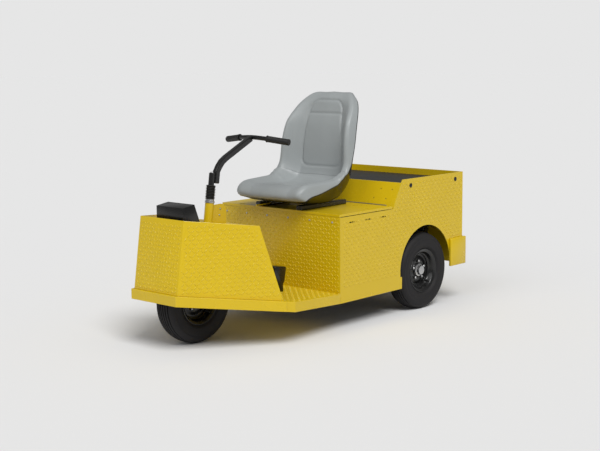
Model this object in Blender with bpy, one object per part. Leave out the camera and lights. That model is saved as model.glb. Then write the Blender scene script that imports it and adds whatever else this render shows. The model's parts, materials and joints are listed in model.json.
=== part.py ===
"""Three-wheel electric tug with a tiller: a step-through platform and apron in front,
a battery box with a seat on its lid, and a shallow cargo tray over the rear axle.

Frame: metres, +Z up, ground at Z = 0, forward is -Y, the vehicle's left is +X.
"""
import math

import bmesh
import bpy
import numpy as np
from mathutils import Matrix, Vector

# ---------------------------------------------------------------- driving dimensions
GAP = 0.0003                 # between pieces that touch
SHEET = 0.004                # body plate
BODY_HALF = 0.403            # half width of the battery box and cargo body
BODY_LOW = 0.140             # underside of the sills
BOX_FRONT = -0.145           # front face of the battery box
BOX_TOP = 0.5645             # top edge of the box sides, under the lid
DECK_TOP = 0.580             # top of the seat deck
SILL_TOP = 0.2013
SILL_REAR = 0.3566
BODY_REAR = 0.906            # outer face of the rear wall
RAIL_TOP = 0.709             # top edge of the cargo sides
RAMP_FOOT = 0.282            # where the sides start to climb behind the seat
RAMP_HEAD = 0.359
CARGO_WALL_TOP = 0.693
CARGO_FLOOR = 0.668          # top of the cargo floor plate
MAT_THICK = 0.0065
TRAY_LOW = 0.150
BULKHEAD = 0.310             # rear face of the battery bay's bulkhead
BULKHEAD_TOP = 0.596

SKIRT = 0.0488               # height of the platform skirt
CORNER_HALF = 0.445          # half width at the widest corner of the platform
CORNER_Y = -0.519
CORNER_LOW = 0.1668          # skirt underside at that corner
NOSE_HALF = 0.149
NOSE_Y = -0.9917             # skirt face at the nose
NOSE_LOW = 0.2281
BUMPER = 0.006               # thickness of the nose strip
BUMPER_END = -0.5545

APRON_HALF = 0.1474          # half width of the nose panel
APRON_FOOT = -0.983
APRON_LEAN = 0.0492          # how far the nose panel leans back over its height
APRON_HEIGHT = 0.3375
WING_REACH = (0.2591, 0.424)  # sideways and rearward run of a side panel's foot
WING_TOP_SHARE = 0.709       # top edge's length as a share of the foot's

WELL_HALF = 0.250            # inside of the front wheel's housing
WELL_REAR = -0.515
WELL_FRONT = -0.775
WELL_SHOULDER = 0.430
WELL_TOP_HALF = 0.180
COWL_TOP = 0.5482
COWL_THICK = 0.003

WHEEL_R = 0.205
TYRE_WIDTH = 0.112
RIM_R = 0.116                # outside of the rim's flange
TRACK_HALF = 0.342           # middle of a rear tyre
REAR_AXLE_Y = 0.566
FRONT_AXLE_Y = -0.7433
ARCH_R = 0.224
ARCH_Z = 0.2276

STEER_POINT = (0.0, -0.6416, 0.5691)   # a point on the steering axis
STEER_RAKE = math.radians(8.2)         # top leans back
STEM_R = 0.014
HEAD_R = 0.021

LID_HINGE = (0.0, 0.2793, 0.578)
LID_REAR = 0.2735
LID_THICK = 0.003
HINGE_R = 0.0055
SLIDE_X = 0.140

RAIL_X = 0.215               # middle of a frame rail and its leaf spring
RAIL_WIDTH = 0.040
RAIL_LOW = 0.400
RAIL_HIGH = 0.450
SPRING_HALF = 0.230          # half length of a leaf spring
SPRING_WIDTH = 0.045
AXLE_R = 0.028
DRUM_R = 0.085
SHOCK_R = 0.018
SPINDLE_R = 0.012

FLAP_OUT = 0.0153            # thickness of the wrap-around rear bumper
FLAP_FRONT = 0.779
FLAP_LOW = 0.201
FLAP_TOP = 0.352
HITCH_END = 0.998

# The seat's sections, from the front lip to the top of the back. y and z give the shell's
# middle line, lean is the section's tilt in degrees (0 faces up, 90 faces forward), half is
# the half width, middle and crest are the foam's heights at the centre and at the bolsters,
# crest_x is where a bolster peaks, and lift is how far the shell's sides curl up.
SEAT_SECTIONS = [
    # y, z, lean, half, middle, crest_x, crest, lift
    (-0.196, 0.636, 88, 0.175, 0.016, 0.140, 0.018, 0.003),
    (-0.186, 0.628, 52, 0.205, 0.046, 0.170, 0.055, 0.012),
    (-0.160, 0.620, 14, 0.228, 0.076, 0.190, 0.090, 0.034),
    (-0.080, 0.612, 2, 0.240, 0.086, 0.200, 0.108, 0.058),
    (0.020, 0.610, 0, 0.243, 0.080, 0.205, 0.115, 0.088),
    (0.095, 0.622, 18, 0.244, 0.072, 0.210, 0.122, 0.105),
    (0.160, 0.658, 42, 0.244, 0.056, 0.212, 0.122, 0.110),
    (0.198, 0.712, 64, 0.243, 0.034, 0.214, 0.112, 0.096),
    (0.214, 0.790, 80, 0.241, 0.029, 0.215, 0.100, 0.072),
    (0.221, 0.885, 83, 0.238, 0.030, 0.211, 0.099, 0.050),
    (0.236, 0.975, 80, 0.228, 0.034, 0.203, 0.092, 0.038),
    (0.262, 1.045, 73, 0.198, 0.038, 0.172, 0.064, 0.028),
    (0.286, 1.095, 66, 0.168, 0.045, 0.140, 0.050, 0.018),
    (0.303, 1.1233, 42, 0.140, 0.034, 0.112, 0.036, 0.010),
    (0.316, 1.134, 8, 0.115, 0.016, 0.090, 0.016, 0.004),
]
PAD_END = 7                  # the section where the cushion meets the backrest
SHELL_THICK = 0.005
FLAT_SHARE = 0.68            # share of the half width over which the shell is flat
FOAM_EDGE = 0.008            # foam above the shell's rim at its edge

YELLOW = (0.72, 0.55, 0.02)
BLACK = (0.02, 0.02, 0.02)
STEEL = (0.45, 0.45, 0.46)
GREY = (0.42, 0.45, 0.46)
RUBBER = (0.025, 0.025, 0.026)


# ---------------------------------------------------------------- helpers
def clear_scene():
    for old in list(bpy.data.objects):
        bpy.data.objects.remove(old, do_unlink=True)


def material(name, colour, roughness, metallic):
    mat = bpy.data.materials.new(name)
    mat.use_nodes = True
    shader = mat.node_tree.nodes["Principled BSDF"]
    shader.inputs["Base Color"].default_value = (*colour, 1.0)
    shader.inputs["Roughness"].default_value = roughness
    shader.inputs["Metallic"].default_value = metallic
    return mat


def empty(name, place, tilt=0.0):
    """A joint's frame: its origin on the joint's axis."""
    frame = bpy.data.objects.new(name, None)
    frame.location = place
    frame.rotation_euler = (tilt, 0.0, 0.0)
    bpy.context.scene.collection.objects.link(frame)
    bpy.context.view_layer.update()
    return frame


def node(name, bm, colour, roughness=0.4, metallic=0.0, parent=None, smooth=False):
    """Link a bmesh, given in world metres, as one named piece."""
    bmesh.ops.recalc_face_normals(bm, faces=bm.faces)
    mesh = bpy.data.meshes.new(name)
    if parent is not None:
        bm.transform(parent.matrix_world.inverted())
    bm.to_mesh(mesh)
    bm.free()
    obj = bpy.data.objects.new(name, mesh)
    mesh.materials.append(material(name, colour, roughness, metallic))
    bpy.context.scene.collection.objects.link(obj)
    if parent is not None:
        obj.parent = parent
    if smooth:
        mesh.shade_smooth()
        mesh.set_sharp_from_angle(angle=math.radians(35))
    return obj


def prism(outline, low, high, axis):
    """Extrude a 2-D outline along axis X, Y or Z.

    The outline's pairs are (y, z), (x, z) or (x, y) in that order of axis.
    """
    place = {
        "X": lambda p, a: (a, p[0], p[1]),
        "Y": lambda p, a: (p[0], a, p[1]),
        "Z": lambda p, a: (p[0], p[1], a),
    }[axis]
    bm = bmesh.new()
    near = [bm.verts.new(place(p, low)) for p in outline]
    far = [bm.verts.new(place(p, high)) for p in outline]
    bm.faces.new(near)
    bm.faces.new(far)
    for i in range(len(outline)):
        j = (i + 1) % len(outline)
        bm.faces.new((near[i], near[j], far[j], far[i]))
    return bm


def box(low, high):
    outline = [(low[0], low[1]), (high[0], low[1]), (high[0], high[1]), (low[0], high[1])]
    return prism(outline, low[2], high[2], "Z")


def turned(profile, centre, axis, steps=48):
    """Revolve (along, radius) points about an axis through centre.

    Ends on the axis are closed to poles. Otherwise the profile is a closed loop.
    """
    axis = Vector(axis).normalized()
    turn = axis.to_track_quat("Z", "Y").to_matrix().to_4x4()
    frame = Matrix.Translation(centre) @ turn
    poles = profile[0][1] == 0.0 and profile[-1][1] == 0.0
    bm = bmesh.new()
    rings = []
    for along, radius in profile:
        if radius == 0.0:
            rings.append([bm.verts.new(frame @ Vector((0.0, 0.0, along)))])
            continue
        ring = []
        for k in range(steps):
            a = 2.0 * math.pi * k / steps
            point = Vector((radius * math.cos(a), radius * math.sin(a), along))
            ring.append(bm.verts.new(frame @ point))
        rings.append(ring)
    count = len(rings)
    for i in range(count - 1 if poles else count):
        a, b = rings[i], rings[(i + 1) % count]
        for k in range(steps):
            n = (k + 1) % steps
            quad = [a[k % len(a)], a[n % len(a)], b[n % len(b)], b[k % len(b)]]
            corners = list(dict.fromkeys(quad))
            bm.faces.new(corners)
    return bm


def rod(start, end, radius, steps=24):
    start, end = Vector(start), Vector(end)
    length = (end - start).length
    return turned([(0.0, 0.0), (0.0, radius), (length, radius), (length, 0.0)],
                  start, end - start, steps)


def shell(faces, points, name, colour, thickness, parent=None, **finish):
    """A folded sheet: its outer faces, thickened inwards."""
    bm = bmesh.new()
    verts = [bm.verts.new(p) for p in points]
    for face in faces:
        bm.faces.new([verts[i] for i in face])
    bm.normal_update()
    mesh = bpy.data.meshes.new(name)
    if parent is not None:
        bm.transform(parent.matrix_world.inverted())
    bm.to_mesh(mesh)
    bm.free()
    obj = bpy.data.objects.new(name, mesh)
    mesh.materials.append(material(name, colour, finish.get("roughness", 0.4),
                                   finish.get("metallic", 0.0)))
    bpy.context.scene.collection.objects.link(obj)
    if parent is not None:
        obj.parent = parent
    solid = obj.modifiers.new("thickness", "SOLIDIFY")
    solid.thickness = thickness
    solid.offset = -1.0
    solid.use_even_offset = True
    return obj


def cut(obj, bm, name):
    """Subtract a shape given in world metres from a piece."""
    bmesh.ops.recalc_face_normals(bm, faces=bm.faces)
    mesh = bpy.data.meshes.new(name)
    bm.to_mesh(mesh)
    bm.free()
    cutter = bpy.data.objects.new(name, mesh)
    cutter.hide_render = True
    cutter.display_type = "WIRE"
    bpy.context.scene.collection.objects.link(cutter)
    boolean = obj.modifiers.new(name, "BOOLEAN")
    boolean.operation = "DIFFERENCE"
    boolean.object = cutter


def bevel(obj, width, segments=2, angle=40):
    mod = obj.modifiers.new("round", "BEVEL")
    mod.width = width
    mod.segments = segments
    mod.limit_method = "ANGLE"
    mod.angle_limit = math.radians(angle)


def arc(centre, radius, start, end, count):
    """Points on an arc in a 2-D plane, angles in degrees."""
    angles = np.radians(np.linspace(start, end, count))
    return [(centre[0] + radius * math.cos(a), centre[1] + radius * math.sin(a)) for a in angles]


# ---------------------------------------------------------------- shared shapes
def skirt_low(y):
    """Height of the platform skirt's underside: two flat slopes that meet at the corner."""
    if y > CORNER_Y:
        share = (BOX_FRONT - y) / (BOX_FRONT - CORNER_Y)
        return BODY_LOW + share * (CORNER_LOW - BODY_LOW)
    share = (CORNER_Y - y) / (CORNER_Y - NOSE_Y)
    return CORNER_LOW + share * (NOSE_LOW - CORNER_LOW)


def floor_top(y):
    return skirt_low(y) + SKIRT


def steer_axis():
    return Vector((0.0, math.sin(STEER_RAKE), math.cos(STEER_RAKE)))


def steer_at(z):
    """The steering axis's point at a height."""
    return Vector(STEER_POINT) + steer_axis() * ((z - STEER_POINT[2]) / math.cos(STEER_RAKE))


def ramp_y(z):
    """The cargo wall's front face at a height: it follows the ramp of the sides."""
    rise = (z - BOX_TOP) / (RAIL_TOP - BOX_TOP)
    return RAMP_FOOT + rise * (RAMP_HEAD - RAMP_FOOT)


# ---------------------------------------------------------------- platform and apron
def build_floor_pan():
    rear = BOX_FRONT - GAP
    outline = [(NOSE_HALF, NOSE_Y), (CORNER_HALF, CORNER_Y), (BODY_HALF, rear)]
    right = [(-x, y) for x, y in outline]
    tops = [(x, y, floor_top(y)) for x, y in outline + right]
    lows = [(x, y, skirt_low(y)) for x, y in outline + right]
    # 0-2 left top, 3-5 right top, 6-8 left low, 9-11 right low
    faces = [(0, 1, 4, 3), (1, 2, 5, 4),
             (3, 9, 6, 0), (0, 6, 7, 1), (1, 7, 8, 2), (4, 10, 9, 3), (5, 11, 10, 4)]
    pan = shell(faces, tops + lows, "floor_pan", YELLOW, SHEET)
    hole = [(0.150, -0.957), (WELL_HALF - 0.002, -0.802), (WELL_HALF - 0.002, WELL_REAR - 0.002)]
    ring = hole + [(-x, y) for x, y in reversed(hole)]
    cut(pan, prism(ring, 0.1, 0.5, "Z"), "front_wheel_hole")
    return pan


def build_nose_bumper():
    out = BUMPER + GAP
    run = Vector((CORNER_HALF - NOSE_HALF, CORNER_Y - NOSE_Y)).normalized()
    normal = Vector((run.y, -run.x))
    share = (BUMPER_END - NOSE_Y) / (CORNER_Y - NOSE_Y)
    end_x = NOSE_HALF + share * (CORNER_HALF - NOSE_HALF)
    corner_x = NOSE_HALF + out * math.tan(math.acos(-normal.y) / 2.0)
    path = [(end_x + normal.x * out, BUMPER_END + normal.y * out), (corner_x, NOSE_Y - out)]
    path = path + [(-x, y) for x, y in reversed(path)]
    tops = [(x, y, floor_top(y)) for x, y in path]
    lows = [(x, y, skirt_low(y)) for x, y in path]
    faces = [(i, i + 4, i + 5, i + 1) for i in range(3)]
    return shell([tuple(reversed(f)) for f in faces], tops + lows, "nose_bumper", YELLOW, BUMPER)


def build_apron():
    foot_z = floor_top(APRON_FOOT) + GAP
    wing_y = APRON_FOOT + WING_REACH[1]
    a = Vector((APRON_HALF, APRON_FOOT, foot_z))
    b = a + Vector((0.0, APRON_LEAN, APRON_HEIGHT))
    d = Vector((APRON_HALF + WING_REACH[0], wing_y, floor_top(wing_y) + GAP))
    c = a + (d - a) * WING_TOP_SHARE + (b - a)
    left = [a, b, c, d]
    right = [Vector((-p.x, p.y, p.z)) for p in left]
    faces = [(0, 3, 2, 1), (4, 5, 6, 7), (4, 0, 1, 5)]
    return shell(faces, [tuple(p) for p in left + right], "front_apron", YELLOW, SHEET)


def build_wheel_housing():
    t = 0.003
    top = COWL_TOP - COWL_THICK - GAP
    section = [(WELL_HALF + t, None), (WELL_HALF + t, WELL_SHOULDER), (WELL_TOP_HALF + t, top)]
    stations = (WELL_FRONT, WELL_REAR + t)
    points = []
    for y in stations:
        for side in (1, -1):
            for x, z in section:
                points.append((side * x, y, floor_top(y) + GAP if z is None else z))
    # per station: 0-2 left going up, 3-5 right going up; the rear station adds 6
    faces = []
    for i in (0, 1):
        faces.append((i, i + 6, i + 7, i + 1))
        faces.append((i + 4, i + 10, i + 9, i + 3))
    faces.append((6, 9, 10, 11, 8, 7))
    return shell(faces, points, "wheel_housing", YELLOW, t)


def build_cowl_plate():
    """The plate that closes the top between the apron's panels and carries the head tube."""
    inset = SHEET + 0.0012
    foot_z = floor_top(APRON_FOOT) + GAP
    share = (COWL_TOP - foot_z) / APRON_HEIGHT
    run = Vector(WING_REACH).normalized()
    nose_y = APRON_FOOT + share * APRON_LEAN + inset
    tail = WING_TOP_SHARE * 0.985
    tail_x = APRON_HALF + tail * WING_REACH[0] - inset * run.y
    tail_y = APRON_FOOT + tail * WING_REACH[1] + 0.92 * APRON_LEAN + inset * run.x
    left = [(APRON_HALF - inset * 0.75, nose_y + 0.001), (tail_x, tail_y),
            (WELL_TOP_HALF + 0.055, WELL_REAR - 0.060), (WELL_TOP_HALF + 0.003, WELL_REAR + 0.003)]
    outline = left + [(-x, y) for x, y in reversed(left)]
    plate = node("cowl_plate", prism(outline, COWL_TOP - COWL_THICK, COWL_TOP, "Z"), YELLOW)
    low = steer_at(COWL_TOP - 0.05)
    high = steer_at(COWL_TOP + 0.05)
    cut(plate, rod(low, high, HEAD_R + 0.0006), "head_tube_hole")
    return plate


def build_head_tube():
    bore = STEM_R + 0.0015
    length = (0.655 - 0.470) / math.cos(STEER_RAKE)
    profile = [(0.0, bore), (0.0, HEAD_R), (length, HEAD_R), (length, bore)]
    return node("head_tube", turned(profile, steer_at(0.470), steer_axis(), 24), YELLOW, smooth=True)


def build_head_collar():
    bore = STEM_R + 0.0015
    base = steer_at(0.655) + steer_axis() * GAP
    profile = [(0.0, bore), (0.0, 0.0235), (0.008, 0.0235), (0.010, 0.0205), (0.017, 0.0205),
               (0.017, bore)]
    return node("head_collar", turned(profile, base, steer_axis(), 24), STEEL, 0.3, 1.0, smooth=True)


def build_gusset():
    """Upright plate behind the head tube with a rounded top."""
    z0 = COWL_TOP + GAP
    z1 = 0.645
    edge = HEAD_R / math.cos(STEER_RAKE) + 0.0004
    y_low = steer_at(z0).y + edge
    y_high = steer_at(z1 - 0.004).y + edge
    back = -0.5215
    outline = [(y_low, z0), (back, z0), (back, 0.585)]
    outline += arc((back - 0.034, 0.610), 0.034, -10, 85, 9)
    outline += [(y_high, z1 - 0.002)]
    plate = node("column_gusset", prism(outline, -0.003, 0.003, "X"), YELLOW)
    for k, (y, z) in enumerate(((-0.5620, 0.6200), (-0.5680, 0.5900))):
        cut(plate, rod((-0.02, y, z), (0.02, y, z), 0.0035, 16), "gusset_hole_%d" % k)
    return plate


def build_front_box():
    """Sheet cover with an open base behind the nose panel's top edge."""
    z0 = COWL_TOP + GAP + 0.0008
    half = 0.090
    outline = [(-0.885, z0), (-0.885, 0.661), (-0.812, 0.672), (-0.765, z0)]
    points = [(half, y, z) for y, z in outline] + [(-half, y, z) for y, z in outline]
    faces = [(0, 3, 2, 1), (4, 5, 6, 7), (0, 1, 5, 4), (1, 2, 6, 5), (2, 3, 7, 6)]
    return shell(faces, points, "front_box", BLACK, 0.002, roughness=0.35)


def build_pedals():
    """A brake pedal on the left and an accelerator on the right, each on a post from the floor."""
    post = (-0.350, -0.322)
    # side view (y, z) of the pedal box, clockwise from the front of the post
    head = [(post[0], 0.243), (-0.372, 0.247), (-0.385, 0.300), (-0.380, 0.334),
            (-0.305, 0.324), (-0.299, 0.317), (-0.312, 0.252), (post[1], 0.241)]
    feet = [(y, floor_top(y) + GAP) for y in reversed(post)]
    for name, x0, x1 in (("brake_pedal", 0.130, 0.190), ("accelerator_pedal", -0.190, -0.130)):
        node(name, prism(head + feet, x0, x1, "X"), BLACK, 0.5)


# ---------------------------------------------------------------- battery box and cargo body
def build_front_wall():
    wall = box((-BODY_HALF, BOX_FRONT, BODY_LOW), (BODY_HALF, BOX_FRONT + SHEET, 0.5672))
    return node("box_front_wall", wall, YELLOW)


def side_outline():
    """Side panel in (y, z): sill, wheel arch, lower rear edge, cargo rail, ramp and box top."""
    start = BOX_FRONT + SHEET + GAP
    end = BODY_REAR - SHEET - GAP
    first = math.degrees(math.asin((SILL_TOP - ARCH_Z) / ARCH_R))
    outline = [(start, BODY_LOW), (SILL_REAR, BODY_LOW), (SILL_REAR, SILL_TOP)]
    outline += arc((REAR_AXLE_Y, ARCH_Z), ARCH_R, 180.0 - first, 0.0, 37)
    outline += [(end, ARCH_Z), (end, RAIL_TOP), (RAMP_HEAD, RAIL_TOP), (RAMP_FOOT, BOX_TOP)]
    outline += [(start, BOX_TOP)]
    return outline


def build_sides():
    for side, label in ((1, "left"), (-1, "right")):
        x = sorted((side * BODY_HALF, side * (BODY_HALF - SHEET)))
        panel = node(label + "_side_panel", prism(side_outline(), x[0], x[1], "X"), YELLOW)
        for k, y in enumerate((-0.0527, 0.0735, 0.1998)):
            low = (min(x) - 0.01, y - 0.024, 0.5310)
            high = (max(x) + 0.01, y + 0.024, 0.5375)
            cut(panel, box(low, high), "%s_slot_%d" % (label, k))
        for k, y in enumerate((0.4291, 0.8339)):
            ends = (min(x) - 0.01, y, 0.6735), (max(x) + 0.01, y, 0.6735)
            cut(panel, rod(*ends, 0.007, 20), "%s_plug_hole_%d" % (label, k))


def build_battery_bay():
    """A folded plate, floor and rear bulkhead in one, with the battery pack standing on it."""
    wide = BODY_HALF - SHEET - GAP
    front = BOX_FRONT + SHEET + GAP
    outline = [(front, TRAY_LOW), (BULKHEAD, TRAY_LOW), (BULKHEAD, BULKHEAD_TOP),
               (BULKHEAD - SHEET, BULKHEAD_TOP), (BULKHEAD - SHEET, TRAY_LOW + SHEET),
               (front, TRAY_LOW + SHEET)]
    node("battery_tray", prism(outline, -wide, wide, "X"), BLACK)
    base = TRAY_LOW + SHEET + GAP
    node("battery_pack", box((-0.330, -0.120, base), (0.330, 0.270, 0.500)), BLACK)


def build_cargo_body():
    wide = BODY_HALF - SHEET - GAP
    low = 0.520
    thick = SHEET / math.cos(math.atan2(RAMP_HEAD - RAMP_FOOT, RAIL_TOP - BOX_TOP))
    top = CARGO_WALL_TOP
    outline = [(ramp_y(low), low), (ramp_y(low) + thick, low), (ramp_y(top) + thick, top),
               (ramp_y(top), top)]
    wall = node("cargo_front_wall", prism(outline, -wide, wide, "X"), YELLOW)
    for k, (x, z) in enumerate(((0.283, 0.657), (0.355, 0.657), (0.255, 0.610), (0.334, 0.610))):
        y = ramp_y(z)
        cut(wall, rod((x, y - 0.02, z), (x, y + 0.03, z), 0.0035, 16), "cargo_wall_hole_%d" % k)
    start = ramp_y(CARGO_FLOOR) + thick + GAP
    end = BODY_REAR - SHEET - GAP
    node("cargo_floor", box((-wide, start, CARGO_FLOOR - SHEET), (wide, end, CARGO_FLOOR)), YELLOW)
    edge = 0.006
    mat = box((-wide + edge, start + 0.012, CARGO_FLOOR + GAP),
              (wide - edge, end - edge, CARGO_FLOOR + GAP + MAT_THICK))
    node("cargo_mat", mat, RUBBER, 0.9)
    rear = box((-BODY_HALF, BODY_REAR - SHEET, ARCH_Z), (BODY_HALF, BODY_REAR, RAIL_TOP))
    node("rear_wall", rear, YELLOW)


def build_rear_bumper():
    inner = BODY_HALF + GAP
    outer = inner + FLAP_OUT
    back = BODY_REAR + GAP
    outline = [(outer, FLAP_FRONT), (outer, back + FLAP_OUT), (-outer, back + FLAP_OUT),
               (-outer, FLAP_FRONT), (-inner, FLAP_FRONT), (-inner, back), (inner, back),
               (inner, FLAP_FRONT)]
    node("rear_bumper", prism(outline, FLAP_LOW, FLAP_TOP, "Z"), YELLOW)


def build_hitch():
    """A fork of two plates on the rear bumper with a drop-in tow pin."""
    start = BODY_REAR + FLAP_OUT + 2.0 * GAP
    web = start + 0.012
    outline = [(start, 0.235), (HITCH_END, 0.235), (HITCH_END, 0.247), (web, 0.247),
               (web, 0.308), (HITCH_END, 0.308), (HITCH_END, 0.320), (start, 0.320)]
    hitch = node("tow_hitch", prism(outline, -0.040, 0.040, "X"), BLACK)
    pin_y = HITCH_END - 0.026
    cut(hitch, rod((0.0, pin_y, 0.2), (0.0, pin_y, 0.4), 0.0115, 24), "pin_hole")
    profile = [(0.0, 0.0), (0.0, 0.008), (0.006, 0.011), (0.098, 0.011), (0.098, 0.019),
               (0.106, 0.019), (0.106, 0.0)]
    node("tow_pin", turned(profile, (0.0, pin_y, 0.2225), (0, 0, 1), 24), STEEL, 0.3, 1.0)


# ---------------------------------------------------------------- rear axle and springs
def build_frame_rails():
    bulkhead = BULKHEAD + GAP
    rear = BODY_REAR - SHEET - GAP
    eye_z = 0.3005
    for side, label in ((1, "left"), (-1, "right")):
        lug_front = REAR_AXLE_Y - SPRING_HALF
        lug_rear = REAR_AXLE_Y + SPRING_HALF
        low = eye_z + 0.012 + GAP
        outline = [(bulkhead, RAIL_HIGH), (bulkhead, RAIL_LOW),
                   (lug_front - 0.020, low), (lug_front + 0.014, low), (lug_front + 0.030, RAIL_LOW),
                   (lug_rear - 0.030, RAIL_LOW), (lug_rear - 0.014, low), (lug_rear + 0.014, low),
                   (lug_rear + 0.030, RAIL_LOW), (rear, RAIL_LOW), (rear, RAIL_HIGH)]
        x = side * RAIL_X
        node("frame_rail_" + label, prism(outline, x - RAIL_WIDTH / 2, x + RAIL_WIDTH / 2, "X"), BLACK)


def build_leaf_springs():
    eye_z = 0.3005
    seat_z = WHEEL_R + AXLE_R + GAP
    sag = eye_z - (seat_z + 0.012)
    for side, label in ((1, "left"), (-1, "right")):
        upper, lower = [], []
        for k in range(17):
            u = -1.0 + k / 8.0
            y = REAR_AXLE_Y + u * SPRING_HALF
            mid = seat_z + 0.012 + sag * (max(0.0, abs(u) - 0.2) / 0.8) ** 2
            thick = 0.012 if abs(u) < 0.3 else (0.008 if abs(u) < 0.65 else 0.004)
            upper.append((y, mid + 0.012))
            lower.append((y, max(mid + 0.012 - 2.0 * thick, seat_z)))
        outline = upper + list(reversed(lower))
        x = side * RAIL_X
        node("leaf_spring_" + label,
             prism(outline, x - SPRING_WIDTH / 2, x + SPRING_WIDTH / 2, "X"), BLACK)


def build_rear_axle():
    """Axle tubes with backing plates either side of the drive housing."""
    hub_in = 0.250
    left = [(-0.3495, 0.0), (-0.3495, SPINDLE_R), (-hub_in, SPINDLE_R), (-hub_in, 0.088),
            (-hub_in + 0.004, 0.088), (-hub_in + 0.004, AXLE_R), (-0.105, AXLE_R),
            (-0.090, 0.060), (-0.055, 0.092)]
    profile = left + [(-a, r) for a, r in reversed(left)]
    bm = turned(profile, (0.0, REAR_AXLE_Y, WHEEL_R), (1, 0, 0), 28)
    node("rear_axle", bm, BLACK, 0.5, smooth=True)
    front = REAR_AXLE_Y - 0.092 - GAP
    motor = turned([(0.0, 0.0), (0.0, 0.060), (0.012, 0.075), (0.135, 0.075), (0.145, 0.055),
                    (0.145, 0.0)], (0.0, front, WHEEL_R + 0.012), (0, -1, 0), 28)
    node("drive_motor", motor, BLACK, 0.4, smooth=True)


def build_shocks():
    for side, label in ((1, "left"), (-1, "right")):
        x = side * (RAIL_X + RAIL_WIDTH / 2 + SHOCK_R + GAP)
        low = Vector((x, 0.668, 0.2701))
        high = Vector((x, 0.745, 0.435))
        length = (high - low).length
        profile = [(0.0, 0.0), (0.0, 0.009), (0.020, 0.010), (0.022, SHOCK_R), (length - 0.022, SHOCK_R),
                   (length - 0.020, 0.009), (length, 0.009), (length, 0.0)]
        node("rear_shock_" + label, turned(profile, low, high - low, 24), BLACK, 0.4, smooth=True)
        seat = WHEEL_R + AXLE_R + GAP + 0.024 + GAP
        inner, outer = RAIL_X - SPRING_WIDTH / 2, RAIL_X + SPRING_WIDTH / 2
        plan = [(inner, 0.526), (0.2450, 0.526), (0.2450, 0.650), (0.2520, 0.657), (0.2740, 0.659),
                (0.2740, 0.690), (outer + 0.0007, 0.690), (outer + 0.0007, 0.606), (inner, 0.606)]
        plan = [(side * x, y) for x, y in plan]
        node("spring_clamp_" + label, prism(plan, seat, seat + 0.008, "Z"), BLACK)


# ---------------------------------------------------------------- wheels
def build_wheel(name, centre, side, parent):
    """Tyre, rim and hub about the X axis; side +1 has its open face to the left."""
    half = TYRE_WIDTH / 2
    lip = half * 0.80
    seat = RIM_R - 0.014
    bead = seat - 0.0004
    shape = [(lip - 0.0078, seat), (lip - 0.0050, RIM_R + 0.0008), (lip + 0.0010, RIM_R + 0.005),
             (half, 0.150), (0.96 * half, 0.176), (0.80 * half, 0.196), (0.0, WHEEL_R)]
    tyre = shape + [(-a, r) for a, r in reversed(shape[:-1])]
    node(name + "_tyre", turned(tyre, centre, (1, 0, 0), 36), RUBBER, 0.85, parent=parent, smooth=True)
    outer = [(lip, RIM_R), (lip - 0.004, RIM_R), (lip - 0.007, bead), (0.014, bead),
             (0.010, bead - 0.010), (-0.010, bead - 0.010), (-0.014, bead), (-lip + 0.007, bead),
             (-lip + 0.004, RIM_R), (-lip, RIM_R)]
    inner = [(-lip, RIM_R - 0.003), (-lip + 0.005, bead - 0.003), (-0.016, bead - 0.003),
             (-0.010, bead - 0.014), (-0.006, 0.075), (0.002, 0.060), (0.002, 0.034),
             (0.006, 0.034), (0.006, 0.062), (-0.001, 0.078), (0.002, bead - 0.014),
             (0.011, bead - 0.013), (0.016, bead - 0.003), (lip - 0.005, bead - 0.003),
             (lip, RIM_R - 0.003)]
    rim = [(side * a, r) for a, r in outer + inner]
    node(name + "_rim", turned(rim, centre, (1, 0, 0), 32), BLACK, 0.3, parent=parent, smooth=True)


def build_rear_wheels(frames):
    for side, label in ((1, "left"), (-1, "right")):
        frame = frames["rear_" + label]
        centre = Vector((side * TRACK_HALF, REAR_AXLE_Y, WHEEL_R))
        build_wheel("rear_" + label, centre, side, frame)
        bore = SPINDLE_R + 0.0006
        back = -0.087
        # from the blind end of the bore out along it, round the drum and flange, to the cap
        hub = [(0.012, 0.0), (0.010, bore), (back, bore), (back, DRUM_R), (-0.050, DRUM_R),
               (-0.046, 0.062), (0.0015, 0.055), (0.0015, 0.0335), (0.018, 0.033),
               (0.020, 0.026), (0.034, 0.023), (0.036, 0.0)]
        hub = [(side * a, r) for a, r in hub]
        bm = turned(hub, centre, (1, 0, 0), 28)
        node("rear_%s_hub" % label, bm, STEEL, 0.35, 0.9, parent=frame, smooth=True)


def build_front_wheel(frame):
    centre = Vector((0.0, FRONT_AXLE_Y, WHEEL_R))
    build_wheel("front", centre, 1, frame)
    bore = SPINDLE_R + 0.0006
    hub = [(-0.052, bore), (-0.052, 0.026), (-0.012, 0.030), (-0.010, 0.055), (0.0015, 0.055),
           (0.0015, 0.0335), (0.018, 0.033), (0.020, 0.026), (0.052, 0.024), (0.052, bore)]
    node("front_hub", turned(hub, centre, (1, 0, 0), 28), STEEL, 0.35, 0.9, parent=frame, smooth=True)


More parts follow.
